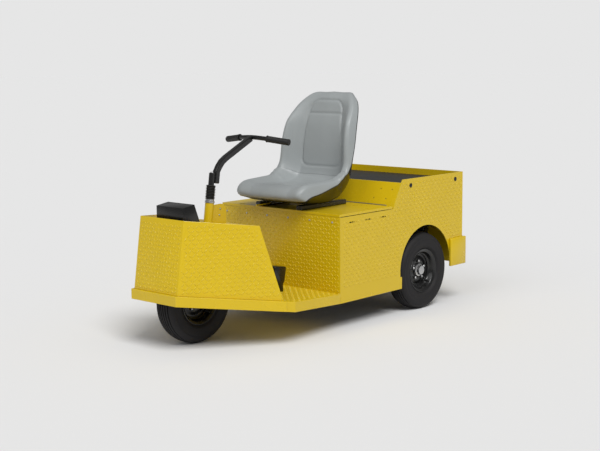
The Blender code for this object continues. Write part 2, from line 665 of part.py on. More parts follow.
# ---------------------------------------------------------------- steering
def build_steering(frame):
    axis = steer_axis()
    top = steer_at(0.796)
    crown_z = 0.444
    foot = steer_at(crown_z + STEM_R * math.sin(STEER_RAKE))
    stem = turned([(0.0, 0.0), (0.0, STEM_R), ((top - foot).length, STEM_R),
                   ((top - foot).length, 0.0)], foot, axis, 28)
    node("steer_stem", stem, BLACK, 0.4, parent=frame, smooth=True)

    leg_in, leg_out = 0.0665, 0.0785
    crown = steer_at(crown_z)
    build_fork(frame, crown, leg_in, leg_out)

    axle = rod((-0.096, FRONT_AXLE_Y, WHEEL_R), (0.096, FRONT_AXLE_Y, WHEEL_R), SPINDLE_R, 24)
    node("front_axle", axle, STEEL, 0.3, 1.0, parent=frame, smooth=True)

    base = steer_at(0.655) + axis * (0.017 + 2 * GAP)
    folds = []
    count = 6
    pitch = 0.0112
    for k in range(count):
        folds.append((k * pitch, 0.0185))
        folds.append(((k + 0.5) * pitch, 0.0240))
    folds.append((count * pitch, 0.0185))
    profile = [(0.0, STEM_R + GAP)] + folds + [(count * pitch, STEM_R + GAP)]
    node("stem_bellows", turned(profile, base, axis, 20), RUBBER, 0.7, parent=frame, smooth=True)


def build_fork(frame, crown, leg_in, leg_out):
    """Crown and two legs in one forging: side outline, with the middle cut away."""
    c = Vector((0.0, FRONT_AXLE_Y, WHEEL_R))
    outline = [(crown.y - 0.034, crown.z - GAP), (c.y - 0.024, c.z + 0.030)]
    outline += arc((c.y, c.z), 0.026, 160, 360, 13)
    outline += [(crown.y + 0.030, crown.z - 0.040), (crown.y + 0.034, crown.z - GAP)]
    fork = node("front_fork", prism(outline, -leg_out, leg_out, "X"), BLACK, 0.5, parent=frame)
    gap = box((-leg_in, -1.2, 0.0), (leg_in, -0.4, crown.z - 0.022))
    cut(fork, gap, "fork_gap")
    ends = ((-0.12, c.y, c.z), (0.12, c.y, c.z))
    cut(fork, rod(*ends, SPINDLE_R + 0.0004, 24), "fork_axle_hole")


def build_tiller(frame):
    """Post that rises behind the stem and bends back to the T-shaped bar."""
    half = 0.0145
    mid = Vector((0.0, -0.333, 0.951))
    behind = (STEM_R + GAP + half) / math.cos(STEER_RAKE)
    path = [(steer_at(z).y + behind, z) for z in (0.7440, 0.8000)]
    path += [(-0.5640, 0.8230), (-0.5450, 0.8440), (-0.5200, 0.8600)]
    last = Vector((mid.y + 0.5200, mid.z - 0.8600)).normalized() * (0.011 + GAP)
    path += [(mid.y - last.x, mid.z - last.y)]
    upper, lower = [], []
    for i, (y, z) in enumerate(path):
        before = Vector(path[max(i - 1, 0)])
        after = Vector(path[min(i + 1, len(path) - 1)])
        run = (after - before).normalized()
        side = Vector((-run.y, run.x)) * half
        upper.append((y + side.x, z + side.y))
        lower.append((y - side.x, z - side.y))
    post = node("tiller_post", prism(upper + list(reversed(lower)), -0.013, 0.013, "X"), BLACK,
                parent=frame)
    bevel(post, 0.005, 2, 30)
    inner = Vector((0.085, -0.325, 0.946))
    end = Vector((0.196, -0.294, 0.932))
    points = [Vector((-p.x, p.y, p.z)) for p in (end, inner)] + [mid, inner, end]
    pipe("handlebar", points, 0.011, BLACK, frame)
    run = (end - inner).normalized()
    for side, label in ((1, "left"), (-1, "right")):
        start = inner + run * 0.006
        stop = end + run * 0.014
        start = Vector((side * start.x, start.y, start.z))
        stop = Vector((side * stop.x, stop.y, stop.z))
        length = (stop - start).length
        profile = [(0.0, 0.0116), (0.0, 0.0150), (length - 0.003, 0.0150), (length, 0.0130),
                   (length, 0.0), (length - 0.012, 0.0), (length - 0.012, 0.0116)]
        grip = turned(profile[5:] + profile[:5], start, stop - start, 24)
        node(label + "_grip", grip, RUBBER, 0.6, parent=frame, smooth=True)


def pipe(name, points, radius, colour, parent):
    """A round bar through points, with mitred corners."""
    bm = bmesh.new()
    rings = []
    steps = 20
    for i, p in enumerate(points):
        before = points[max(i - 1, 0)]
        after = points[min(i + 1, len(points) - 1)]
        run = (after - before).normalized()
        up = Vector((0.0, 0.0, 1.0))
        across = run.cross(up).normalized()
        up = across.cross(run).normalized()
        ring = []
        for k in range(steps):
            a = 2.0 * math.pi * k / steps
            ring.append(bm.verts.new(p + across * (radius * math.cos(a)) + up * (radius * math.sin(a))))
        rings.append(ring)
    for a, b in zip(rings, rings[1:]):
        for k in range(steps):
            n = (k + 1) % steps
            bm.faces.new((a[k], a[n], b[n], b[k]))
    bm.faces.new(rings[0])
    bm.faces.new(rings[-1])
    return node(name, bm, colour, 0.35, parent=parent, smooth=True)


# ---------------------------------------------------------------- seat deck
def build_seat_deck(frame):
    x, y0, y1 = BODY_HALF, BOX_FRONT - 0.0015, LID_REAR
    z0, z1 = 0.5675, DECK_TOP
    points = [(x, y0, z1), (x, y1, z1), (-x, y1, z1), (-x, y0, z1),
              (x, y0, z0), (x, y1, z0), (-x, y1, z0), (-x, y0, z0)]
    faces = [(0, 1, 2, 3), (4, 5, 1, 0), (5, 6, 2, 1), (6, 7, 3, 2), (7, 4, 0, 3)]
    lid = shell(faces, points, "seat_deck", YELLOW, LID_THICK, parent=frame)
    cut(lid, box((-0.300, -0.128, 0.55), (-0.262, -0.112, 0.6)), "finger_slot")
    slide_top = min(section[1] for section in SEAT_SECTIONS) - SHELL_THICK - GAP
    for side, label in ((1, "left"), (-1, "right")):
        low = (side * SLIDE_X - 0.016, -0.150, DECK_TOP + GAP)
        high = (side * SLIDE_X + 0.016, 0.205, slide_top)
        slide = node("seat_slide_" + label, box(low, high), BLACK, 0.4, parent=frame)
        bevel(slide, 0.004, 2)


def build_deck_hinge():
    y, z = LID_HINGE[1], LID_HINGE[2]
    node("deck_hinge", rod((-0.360, y, z), (0.360, y, z), HINGE_R, 20), STEEL, 0.3, 1.0, smooth=True)


def seat_point(section, x, height):
    y, z, lean = section[:3]
    a = math.radians(lean)
    return Vector((x, y - height * math.sin(a), z + height * math.cos(a)))


def shell_height(section, x):
    """The shell's inner face above its middle line: flat in the middle, curled up at the sides."""
    half, lift = section[3], section[7]
    share = max(0.0, abs(x) / half - FLAT_SHARE) / (1.0 - FLAT_SHARE)
    return lift * share ** 1.6


def foam_points(section):
    """(x, height) across the foam's face, from the middle to the edge of one side."""
    half, middle, crest_x, crest, lift = section[3:]
    inner = 0.62 * crest_x
    return [(0.0, middle), (inner, middle), (0.5 * (inner + crest_x), 0.5 * (middle + crest)),
            (crest_x, crest), (0.4 * crest_x + 0.6 * half, 0.85 * crest + 0.15 * lift),
            (half, lift + FOAM_EDGE)]


def both_sides(points):
    return [(-x, h) for x, h in reversed(points[1:])] + points


def lofted(rings):
    """Close rings of equal length into one body with flat ends."""
    bm = bmesh.new()
    loops = [[bm.verts.new(p) for p in ring] for ring in rings]
    for a, b in zip(loops, loops[1:]):
        for k in range(len(a)):
            n = (k + 1) % len(a)
            bm.faces.new((a[k], a[n], b[n]))
            bm.faces.new((a[k], b[n], b[k]))
    bm.faces.new(loops[0])
    bm.faces.new(loops[-1])
    bmesh.ops.triangulate(bm, faces=[f for f in bm.faces if len(f.verts) > 4])
    return bm


def foam_ring(section):
    top = both_sides(foam_points(section))
    base = [(x, shell_height(section, x) + GAP + 0.0002) for x, h in reversed(top)]
    return [seat_point(section, x, h) for x, h in top + base]


def shell_ring(section):
    across = [x for x, h in both_sides(foam_points(section))]
    inner = [(x, shell_height(section, x)) for x in across]
    outer = [(x, h - SHELL_THICK) for x, h in inner]
    return [seat_point(section, x, h) for x, h in outer + inner[::-1]]


def between(a, b, share):
    return tuple(p + (q - p) * share for p, q in zip(a, b))


def build_seat(frame):
    shell_rings = [shell_ring(s) for s in SEAT_SECTIONS]
    node("seat_shell", lofted(shell_rings), BLACK, 0.3, parent=frame)
    pad = SEAT_SECTIONS[:PAD_END + 1]
    node("seat_pad", lofted([foam_ring(s) for s in pad]), GREY, 0.5, parent=frame)
    start = between(SEAT_SECTIONS[PAD_END], SEAT_SECTIONS[PAD_END + 1], 0.02)
    back = [start] + SEAT_SECTIONS[PAD_END + 1:]
    node("seat_back", lofted([foam_ring(s) for s in back]), GREY, 0.5, parent=frame)


def build_seat_lever(frame):
    z = DECK_TOP + 0.012
    pts = [Vector((-0.1194, -0.080, z)), Vector((-0.110, -0.120, z)), Vector((-0.110, -0.195, z))]
    pipe("seat_lever", pts, 0.004, YELLOW, frame)


# ---------------------------------------------------------------- assembly
def main():
    clear_scene()
    build_floor_pan()
    build_nose_bumper()
    build_apron()
    build_wheel_housing()
    build_cowl_plate()
    build_head_tube()
    build_head_collar()
    build_gusset()
    build_front_box()
    build_pedals()
    build_front_wall()
    build_sides()
    build_battery_bay()
    build_cargo_body()
    build_rear_bumper()
    build_hitch()
    build_frame_rails()
    build_leaf_springs()
    build_rear_axle()
    build_shocks()
    build_deck_hinge()
    frames = {
        "steer": empty("steer_axis", STEER_POINT, -STEER_RAKE),
        "lid": empty("lid_axis", LID_HINGE),
        "front": empty("front_wheel_axis", (0.0, FRONT_AXLE_Y, WHEEL_R)),
        "rear_left": empty("rear_left_axis", (TRACK_HALF, REAR_AXLE_Y, WHEEL_R)),
        "rear_right": empty("rear_right_axis", (-TRACK_HALF, REAR_AXLE_Y, WHEEL_R)),
    }
    build_steering(frames["steer"])
    build_tiller(frames["steer"])
    build_front_wheel(frames["front"])
    build_rear_wheels(frames)
    build_seat_deck(frames["lid"])
    build_seat(frames["lid"])
    build_seat_lever(frames["lid"])


main()
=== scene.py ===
"""Looks of a three-wheel electric tug: yellow powder-coated tread plate, a grey moulded seat,
black steel wheels with ribbed tyres, and a black tiller. Metres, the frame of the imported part.
"""
import json
import math

import bmesh
import bpy
import numpy as np
from mathutils import Matrix, Vector


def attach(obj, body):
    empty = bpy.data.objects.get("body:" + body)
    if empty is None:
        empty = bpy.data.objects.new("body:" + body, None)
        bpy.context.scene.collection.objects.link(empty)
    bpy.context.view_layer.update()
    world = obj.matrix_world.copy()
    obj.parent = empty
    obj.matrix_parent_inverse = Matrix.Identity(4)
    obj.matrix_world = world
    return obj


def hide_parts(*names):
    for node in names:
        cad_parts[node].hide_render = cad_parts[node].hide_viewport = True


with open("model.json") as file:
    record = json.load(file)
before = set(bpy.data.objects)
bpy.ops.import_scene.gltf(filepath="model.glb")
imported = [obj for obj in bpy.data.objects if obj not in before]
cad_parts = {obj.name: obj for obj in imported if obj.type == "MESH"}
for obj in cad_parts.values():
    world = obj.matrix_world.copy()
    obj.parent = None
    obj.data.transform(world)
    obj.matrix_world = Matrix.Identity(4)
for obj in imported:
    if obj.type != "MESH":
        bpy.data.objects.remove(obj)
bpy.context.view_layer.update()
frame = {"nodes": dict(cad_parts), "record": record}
SLOT_OF = {row["node"]: row["material_slot"] for row in frame["record"]["subparts"]}

# ---------------------------------------------------------------- sizes
CAMERA_PLACE = (4.1022, -4.5803, 1.3554)
CAMERA_TURN = 0.728689
CAMERA_DOWN = 0.142137
CAMERA_ROLL = -0.0079836
LENS = 72.17
PALE = (0.791, 0.791, 0.791, 1.0)
# azimuth and height of each sun in degrees, its strength and its spread in degrees
LAMPS = {"key": (62.0, 52.0, 2.3, 30.0), "front": (5.0, 40.0, 0.60, 40.0)}
REFLECTED = (0.26, 0.26, 0.26, 1.0)        # the surround as glossy surfaces see it
DUST = (0.30, 0.28, 0.24, 1.0)
WORN_AND_HIGHLIT_REACH = 0.004                         # reach of the lighter edges, partly rubbed wear and partly a painted highlight
BUMP_DEPTH = 0.0006

BODY_HALF = 0.403
BOX_FRONT = -0.145
STEER_POINT = Vector((0.0, -0.6416, 0.5691))
STEER_AXIS = Vector((0.0, math.sin(math.radians(8.2)), math.cos(math.radians(8.2))))
STEM_R = 0.014
WHEEL_R = 0.205
WHEEL_CENTRES = {"front": (0.0, -0.7433, WHEEL_R), "rear_left": (0.342, 0.566, WHEEL_R),
                 "rear_right": (-0.342, 0.566, WHEEL_R)}
WHEEL_BODIES = {"front": "front_wheel", "rear_left": "rear_left_wheel",
                "rear_right": "rear_right_wheel"}
RIM_R = 0.116
RIM_HALF = 0.0448
BEAD_R = 0.1016
NUT_CIRCLE = 0.048

BROAD_ROUND = 0.0025        # narrower roundings keep their large faces flat in shading

TREAD_PITCH = 0.0185
TREAD_LENGTH = 0.020
TREAD_WIDTH = 0.0056
TREAD_HEIGHT = 0.0015
TREAD_MARGIN = 0.012         # from a lozenge's centre to the plate's edge
SILL_CLEAR_Z = 0.215         # the sills below this are smooth
FLAP_CLEAR_Z = 0.37          # the rear wall is hidden below this
RAIL_CLEAR = (0.37, 0.68)    # y and z from which the cargo rails show inside
NOSE_NORMAL = (0.0, -0.3375, 0.0492)
WING_NORMAL = (0.8533, -0.5214, 0.10)
FLOOR_NORMALS = ((0.0, 0.072, 1.0), (0.0, 0.130, 1.0))

# length, width and height of each stamped head
BOLT_HEAD = (0.0062, 0.0062, 0.0032)
SMALL_BOLT = (0.0055, 0.0055, 0.0030)
STEM_BOLT = (0.0100, 0.0100, 0.0050)
SIDE_PLUG = (0.0135, 0.0135, 0.0030)
PEDAL_NUT = (0.0065, 0.0065, 0.0040)
WHEEL_NUT = (0.0088, 0.0088, 0.0090)
NUTS = 5
BOX_BOLTS_X = (-0.370, -0.225, -0.081, 0.063, 0.207, 0.354)
BOX_BOLTS_Z = 0.538
PLUGS_Y = (0.4291, 0.8339)
PLUGS_Z = 0.6735
GUSSET_HALF = 0.003
GUSSET_BOLTS = ((-0.5620, 0.6200), (-0.5680, 0.5900))
STEM_TOP_Z = 0.797
PEDAL_PIVOT = (0.160, -0.311, 0.262)

BELLOWS_HEIGHT = 0.0672
BELLOWS_RIBS = 9
BELLOWS_R = 0.0186
BELLOWS_RISE = 0.0052
COLLAR_Z = 0.655
COLLAR_HEIGHT = 0.0176
BAR_R = 0.011
BAR_MIDDLE = Vector((0.0, -0.333, 0.951))
BAR_BEND = Vector((0.085, -0.325, 0.946))
BAR_END = Vector((0.196, -0.294, 0.932))
GRIP_R = 0.0150
GRIP_RIBS = 14
SHOCK_LOW = (0.2533, 0.668, 0.2701)
SHOCK_HIGH = (0.2533, 0.745, 0.435)
COIL_INSET = 0.029           # from each end of the shock to its coil

# The seat's sections, from the front lip to the top of the back. They follow the part's own,
# with fuller front corners and shoulders. lean is in degrees (0 faces up, 90 faces forward),
# middle and crest are the foam's heights at the centre and at the bolsters, crest_x is where
# a bolster peaks, and lift is how far the shell's sides curl up.
SEAT_SECTIONS = np.array([
    # y, z, lean, half width, middle, crest_x, crest, lift
    (-0.196, 0.636, 88, 0.200, 0.016, 0.168, 0.018, 0.003),
    (-0.186, 0.628, 52, 0.224, 0.050, 0.192, 0.062, 0.012),
    (-0.160, 0.620, 14, 0.236, 0.078, 0.200, 0.094, 0.034),
    (-0.080, 0.612, 2, 0.240, 0.086, 0.200, 0.108, 0.058),
    (0.020, 0.610, 0, 0.243, 0.080, 0.205, 0.115, 0.088),
    (0.095, 0.622, 18, 0.244, 0.072, 0.210, 0.122, 0.105),
    (0.160, 0.658, 42, 0.244, 0.056, 0.212, 0.122, 0.110),
    (0.198, 0.712, 64, 0.243, 0.034, 0.214, 0.112, 0.096),
    (0.214, 0.790, 80, 0.241, 0.029, 0.215, 0.100, 0.072),
    (0.221, 0.885, 83, 0.238, 0.030, 0.211, 0.099, 0.050),
    (0.236, 0.975, 80, 0.228, 0.034, 0.203, 0.092, 0.038),
    (0.262, 1.045, 73, 0.208, 0.038, 0.182, 0.068, 0.028),
    (0.286, 1.095, 66, 0.178, 0.045, 0.150, 0.052, 0.018),
    (0.303, 1.1233, 42, 0.140, 0.034, 0.112, 0.036, 0.010),
    (0.316, 1.134, 8, 0.115, 0.016, 0.090, 0.016, 0.004),
])
PAD_END = 7
SHELL_THICK = 0.005
FLAT_SHARE = 0.68
FOAM_EDGE = 0.008
FOAM_GAP = 0.0005
CROWN = 0.003                                # extra foam height at the centre
EDGE_ROLL = 0.007                            # width of the foam's rolled edge
EDGE_DROP = 0.0065
EDGE_LEAST = 0.0008                          # foam left over the shell at its very edge
GROOVE_DEPTH = 0.006
GROOVE_WIDTH = 0.0045
BACK_PANEL = (0.765, 1.095, 0.134, 0.100)    # low z, high z, half width low and high
PAD_PANEL = (-0.135, 0.085, 0.128, 0.134)    # front y, rear y, half width front and rear
PANEL_CORNER = 0.040
BACK_LINE_Z = 1.035
BACK_LEAN = 60                               # sections steeper and higher than these are back
BACK_FOOT_Z = 0.70
STATIONS_PER_STEP = 12
ACROSS = 56                                  # columns over half of the seat's width


# ---------------------------------------------------------------- camera, light and floor
def make_camera():
    data = bpy.data.cameras.new("camera")
    data.lens = LENS
    data.sensor_width = 36.0
    data.clip_start = 0.1
    data.clip_end = 200.0
    camera = bpy.data.objects.new("camera", data)
    bpy.context.scene.collection.objects.link(camera)
    turn = Matrix.Rotation(CAMERA_TURN, 4, "Z") @ Matrix.Rotation(math.pi / 2 - CAMERA_DOWN, 4, "X")
    camera.matrix_world = Matrix.Translation(CAMERA_PLACE) @ turn @ Matrix.Rotation(CAMERA_ROLL, 4, "Z")
    bpy.context.scene.camera = camera


def make_world():
    """A pale surround for the camera, a darker one in reflections, and a fill that with the suns
    lights the floor to the same pale."""
    world = bpy.data.worlds.new("studio")
    bpy.context.scene.world = world
    world.use_nodes = True
    tree = world.node_tree
    tree.nodes.clear()
    suns = sum(power * math.sin(math.radians(high)) for _, high, power, _ in LAMPS.values())
    seen = tree.nodes.new("ShaderNodeBackground")
    seen.inputs["Color"].default_value = PALE
    fill = tree.nodes.new("ShaderNodeBackground")
    fill.inputs["Color"].default_value = (1.0, 1.0, 1.0, 1.0)
    fill.inputs["Strength"].default_value = 1.0 - suns / math.pi
    mirrored = tree.nodes.new("ShaderNodeBackground")
    mirrored.inputs["Color"].default_value = REFLECTED
    path = tree.nodes.new("ShaderNodeLightPath")
    glossy = tree.nodes.new("ShaderNodeMixShader")
    mix = tree.nodes.new("ShaderNodeMixShader")
    out = tree.nodes.new("ShaderNodeOutputWorld")
    tree.links.new(path.outputs["Is Glossy Ray"], glossy.inputs["Fac"])
    tree.links.new(fill.outputs[0], glossy.inputs[1])
    tree.links.new(mirrored.outputs[0], glossy.inputs[2])
    tree.links.new(path.outputs["Is Camera Ray"], mix.inputs["Fac"])
    tree.links.new(glossy.outputs[0], mix.inputs[1])
    tree.links.new(seen.outputs[0], mix.inputs[2])
    tree.links.new(mix.outputs[0], out.inputs["Surface"])


def make_floor():
    reach = 60.0
    mesh = bpy.data.meshes.new("floor")
    corners = [(-reach, -reach, 0), (reach, -reach, 0), (reach, reach, 0), (-reach, reach, 0)]
    mesh.from_pydata(corners, [], [(0, 1, 2, 3)])
    floor = bpy.data.objects.new("floor", mesh)
    bpy.context.scene.collection.objects.link(floor)
    paint = bpy.data.materials.new("floor_paint")
    paint.use_nodes = True
    shader = paint.node_tree.nodes["Principled BSDF"]
    shader.inputs["Base Color"].default_value = PALE
    shader.inputs["Roughness"].default_value = 1.0
    shader.inputs["Specular IOR Level"].default_value = 0.0
    mesh.materials.append(paint)


def make_lamps():
    for name, (azimuth, height, strength, spread) in LAMPS.items():
        lamp = bpy.data.lights.new(name, "SUN")
        lamp.energy = strength
        lamp.angle = math.radians(spread)
        obj = bpy.data.objects.new(name, lamp)
        bpy.context.scene.collection.objects.link(obj)
        a, e = math.radians(azimuth), math.radians(height)
        toward = Vector((math.sin(a) * math.cos(e), -math.cos(a) * math.cos(e), math.sin(e)))
        obj.rotation_euler = toward.to_track_quat("Z", "Y").to_euler()


# ---------------------------------------------------------------- material groups
def new_group(name, inputs, outputs):
    group = bpy.data.node_groups.new(name, "ShaderNodeTree")
    for label, kind, value in inputs:
        socket = group.interface.new_socket(label, in_out="INPUT", socket_type=kind)
        if value is not None:
            socket.default_value = value
    for label, kind in outputs:
        group.interface.new_socket(label, in_out="OUTPUT", socket_type=kind)
    return group, group.nodes.new("NodeGroupInput"), group.nodes.new("NodeGroupOutput")


def maths(group, operation, first, second=None):
    """A Math node; each operand is a socket or a number."""
    node = group.nodes.new("ShaderNodeMath")
    node.operation = operation
    for slot, operand in enumerate((first, second)):
        if isinstance(operand, (int, float)):
            node.inputs[slot].default_value = operand
        elif operand is not None:
            group.links.new(operand, node.inputs[slot])
    return node.outputs[0]


def blended(group, share, first, second):
    node = group.nodes.new("ShaderNodeMix")
    node.data_type = "RGBA"
    group.links.new(share, node.inputs[0])
    group.links.new(first, node.inputs[6])
    group.links.new(second, node.inputs[7])
    return node.outputs[2]


def noise(group, scale, detail=3.0):
    """Noise on Object coordinates; scale is a socket or a number."""
    place = group.nodes.new("ShaderNodeTexCoord")
    node = group.nodes.new("ShaderNodeTexNoise")
    node.inputs["Detail"].default_value = detail
    group.links.new(place.outputs["Object"], node.inputs["Vector"])
    if isinstance(scale, (int, float)):
        node.inputs["Scale"].default_value = scale
    else:
        group.links.new(scale, node.inputs["Scale"])
    return node.outputs["Fac"]


COLOUR, NUMBER = "NodeSocketColor", "NodeSocketFloat"


def grain_group():
    """Slow drift of shade and gloss with a fine grain for bump."""
    group, given, out = new_group(
        "surface_grain",
        [("Color", COLOUR, None), ("Vary", NUMBER, 0.1), ("Roughness", NUMBER, 0.4),
         ("Grain Scale", NUMBER, 300.0)],
        [("Color", COLOUR), ("Roughness", NUMBER), ("Height", NUMBER)])
    slow = maths(group, "SUBTRACT", noise(group, 7.0, 5.0), 0.5)
    shift = maths(group, "MULTIPLY", slow, given.outputs["Vary"])
    hue = group.nodes.new("ShaderNodeHueSaturation")
    group.links.new(given.outputs["Color"], hue.inputs["Color"])
    group.links.new(maths(group, "ADD", maths(group, "MULTIPLY", shift, 2.0), 1.0), hue.inputs["Value"])
    group.links.new(hue.outputs[0], out.inputs["Color"])
    group.links.new(maths(group, "ADD", given.outputs["Roughness"], shift), out.inputs["Roughness"])
    group.links.new(noise(group, given.outputs["Grain Scale"]), out.inputs["Height"])
    return group


def edge_group():
    """Lighter edges, partly rubbed wear and partly a painted highlight: a mask where the rounded normal
    leaves the face's own.
    """
    group, given, out = new_group(
        "worn_and_highlit_edges",
        [("Color", COLOUR, None), ("Rubbed Color", COLOUR, None), ("Amount", NUMBER, 0.3)],
        [("Color", COLOUR), ("Mask", NUMBER)])
    bevel = group.nodes.new("ShaderNodeBevel")
    bevel.samples = 4
    bevel.inputs["Radius"].default_value = WORN_AND_HIGHLIT_REACH
    flat = group.nodes.new("ShaderNodeNewGeometry")
    dot = group.nodes.new("ShaderNodeVectorMath")
    dot.operation = "DOT_PRODUCT"
    group.links.new(bevel.outputs[0], dot.inputs[0])
    group.links.new(flat.outputs["Normal"], dot.inputs[1])
    bend = maths(group, "MULTIPLY", maths(group, "SUBTRACT", 1.0, dot.outputs["Value"]), 6.0)
    patchy = maths(group, "MULTIPLY", bend, noise(group, 45.0))
    mask = group.nodes.new("ShaderNodeClamp")
    group.links.new(maths(group, "MULTIPLY", patchy, given.outputs["Amount"]), mask.inputs[0])
    mixed = blended(group, mask.outputs[0], given.outputs["Color"], given.outputs["Rubbed Color"])
    group.links.new(mixed, out.inputs["Color"])
    group.links.new(mask.outputs[0], out.inputs["Mask"])
    return group


def dust_group():
    """Dust that settles on faces turned up, in soft patches."""
    group, given, out = new_group(
        "settled_dust",
        [("Color", COLOUR, None), ("Roughness", NUMBER, 0.4), ("Dust Color", COLOUR, None),
         ("Amount", NUMBER, 0.2)],
        [("Color", COLOUR), ("Roughness", NUMBER)])
    turned = group.nodes.new("ShaderNodeNewGeometry")
    split = group.nodes.new("ShaderNodeSeparateXYZ")
    group.links.new(turned.outputs["Normal"], split.inputs[0])
    up = maths(group, "MAXIMUM", split.outputs["Z"], 0.12)
    share = maths(group, "MULTIPLY", maths(group, "MULTIPLY", up, noise(group, 11.0, 6.0)),
                  given.outputs["Amount"])
    mixed = blended(group, share, given.outputs["Color"], given.outputs["Dust Color"])
    group.links.new(mixed, out.inputs["Color"])
    rough = maths(group, "ADD", given.outputs["Roughness"], maths(group, "MULTIPLY", share, 0.5))
    group.links.new(rough, out.inputs["Roughness"])
    return group


def use(tree, group, **values):
    node = tree.nodes.new("ShaderNodeGroup")
    node.node_tree = group
    for label, value in values.items():
        node.inputs[label.replace("_", " ")].default_value = value
    return node


def make_material(name, look):
    """One paint or rubber from the three groups; constants sit on the shader's own sockets."""
    mat = bpy.data.materials.new(name)
    mat.use_nodes = True
    tree = mat.node_tree
    shader = tree.nodes["Principled BSDF"]
    shader.inputs["Metallic"].default_value = look.get("metallic", 0.0)
    shader.inputs["Specular IOR Level"].default_value = look.get("specular", 0.5)
    shader.inputs["Coat Weight"].default_value = look.get("coat", 0.0)
    shader.inputs["Coat Roughness"].default_value = 0.2
    colour = (*look["colour"], 1.0)
    grain = use(tree, GROUPS["grain"], Color=colour, Vary=look.get("vary", 0.08),
                Roughness=look["roughness"], Grain_Scale=look.get("grain_scale", 350.0))
    # the lighter edge colour is partly rubbed wear and partly a painted highlight along every edge
    edge = use(tree, GROUPS["edge"], Rubbed_Color=(*look["worn_and_highlit_colour"], 1.0), Amount=look.get("worn_and_highlit_amount", 0.3))
    dust = use(tree, GROUPS["dust"], Dust_Color=DUST, Amount=look.get("dust", 0.1))
    tree.links.new(grain.outputs["Color"], edge.inputs["Color"])
    tree.links.new(edge.outputs["Color"], dust.inputs["Color"])
    tree.links.new(grain.outputs["Roughness"], dust.inputs["Roughness"])
    tree.links.new(dust.outputs["Color"], shader.inputs["Base Color"])
    tree.links.new(dust.outputs["Roughness"], shader.inputs["Roughness"])
    bump = tree.nodes.new("ShaderNodeBump")
    bump.inputs["Strength"].default_value = look.get("bump", 0.15)
    bump.inputs["Distance"].default_value = BUMP_DEPTH
    tree.links.new(grain.outputs["Height"], bump.inputs["Height"])
    tree.links.new(bump.outputs[0], shader.inputs["Normal"])
    return mat


# Each finish's lighter edge colour and its amount stand partly for rubbed wear and partly for a painted
# highlight.
LOOKS = {
    "yellow_plate": dict(colour=(0.640, 0.445, 0.0030), roughness=0.27, worn_and_highlit_colour=(0.80, 0.66, 0.10),
                         worn_and_highlit_amount=0.35, dust=0.04, vary=0.05, bump=0.06, specular=0.5),
    "black_metal": dict(colour=(0.006, 0.006, 0.006), roughness=0.24, worn_and_highlit_colour=(0.05, 0.05, 0.05),
                        worn_and_highlit_amount=0.4, dust=0.02, bump=0.06),
    "steel": dict(colour=(0.52, 0.52, 0.52), roughness=0.32, worn_and_highlit_colour=(0.7, 0.7, 0.7), metallic=1.0,
                  worn_and_highlit_amount=0.3, dust=0.12, bump=0.10),
    "tyre": dict(colour=(0.011, 0.010, 0.011), roughness=0.70, worn_and_highlit_colour=(0.05, 0.05, 0.05), worn_and_highlit_amount=0.3,
                 dust=0.05, bump=0.35, grain_scale=500.0, specular=0.35),
    "rubber": dict(colour=(0.010, 0.010, 0.010), roughness=0.50, worn_and_highlit_colour=(0.06, 0.06, 0.06), worn_and_highlit_amount=0.3,
                   dust=0.05, bump=0.3, grain_scale=700.0, specular=0.35),
    "vinyl": dict(colour=(0.300, 0.322, 0.325), roughness=0.36, worn_and_highlit_colour=(0.42, 0.44, 0.44), worn_and_highlit_amount=0.25,
                  dust=0.06, bump=0.55, grain_scale=900.0, vary=0.05, specular=0.45),
}


# ---------------------------------------------------------------- mesh helpers
def add_piece(name, mesh, slot, body, replaced=()):
    """Put one finished mesh in the scene under its body, hide the parts it replaces, and shade it smooth.
    """
    obj = bpy.data.objects.new(name, mesh)
    bpy.context.scene.collection.objects.link(obj)
    mesh.materials.clear()
    mesh.materials.append(PAINTS[slot])
    mesh.polygons.foreach_set("use_smooth", [True] * len(mesh.polygons))
    mesh.polygons.foreach_set("material_index", [0] * len(mesh.polygons))
    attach(obj, body)
    if replaced:
        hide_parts(*replaced)
    return obj


def to_mesh(bm, name, crease=35.0):
    """Finish a bmesh: faces outward, and edges sharper than crease degrees stay sharp."""
    bmesh.ops.recalc_face_normals(bm, faces=bm.faces)
    for edge in bm.edges:
        edge.smooth = edge.calc_face_angle(0.0) < math.radians(crease)
    mesh = bpy.data.meshes.new(name)
    bm.to_mesh(mesh)
    bm.free()
    return mesh


def lathe(bm, profile, centre, axis, steps=64):
    """Turn (distance along, radius) points about an axis into the bmesh; the profile closes."""
    axis = Vector(axis).normalized()
    side = axis.orthogonal().normalized()
    other = axis.cross(side)
    centre = Vector(centre)
    rings = []
    for along, radius in profile:
        if radius < 1e-6:
            rings.append([bm.verts.new(centre + axis * along)] * steps)
            continue
        ring = []
        for k in range(steps):
            a = 2.0 * math.pi * k / steps
            out = side * math.cos(a) + other * math.sin(a)
            ring.append(bm.verts.new(centre + axis * along + out * radius))
        rings.append(ring)
    pairs = list(zip(rings, rings[1:]))
    if profile[0][1] >= 1e-6 or profile[-1][1] >= 1e-6:
        pairs.append((rings[-1], rings[0]))
    for a, b in pairs:
        for k in range(steps):
            n = (k + 1) % steps
            corners = list(dict.fromkeys((a[k], a[n], b[n], b[k])))
            if len(corners) > 2:
                bm.faces.new(corners)


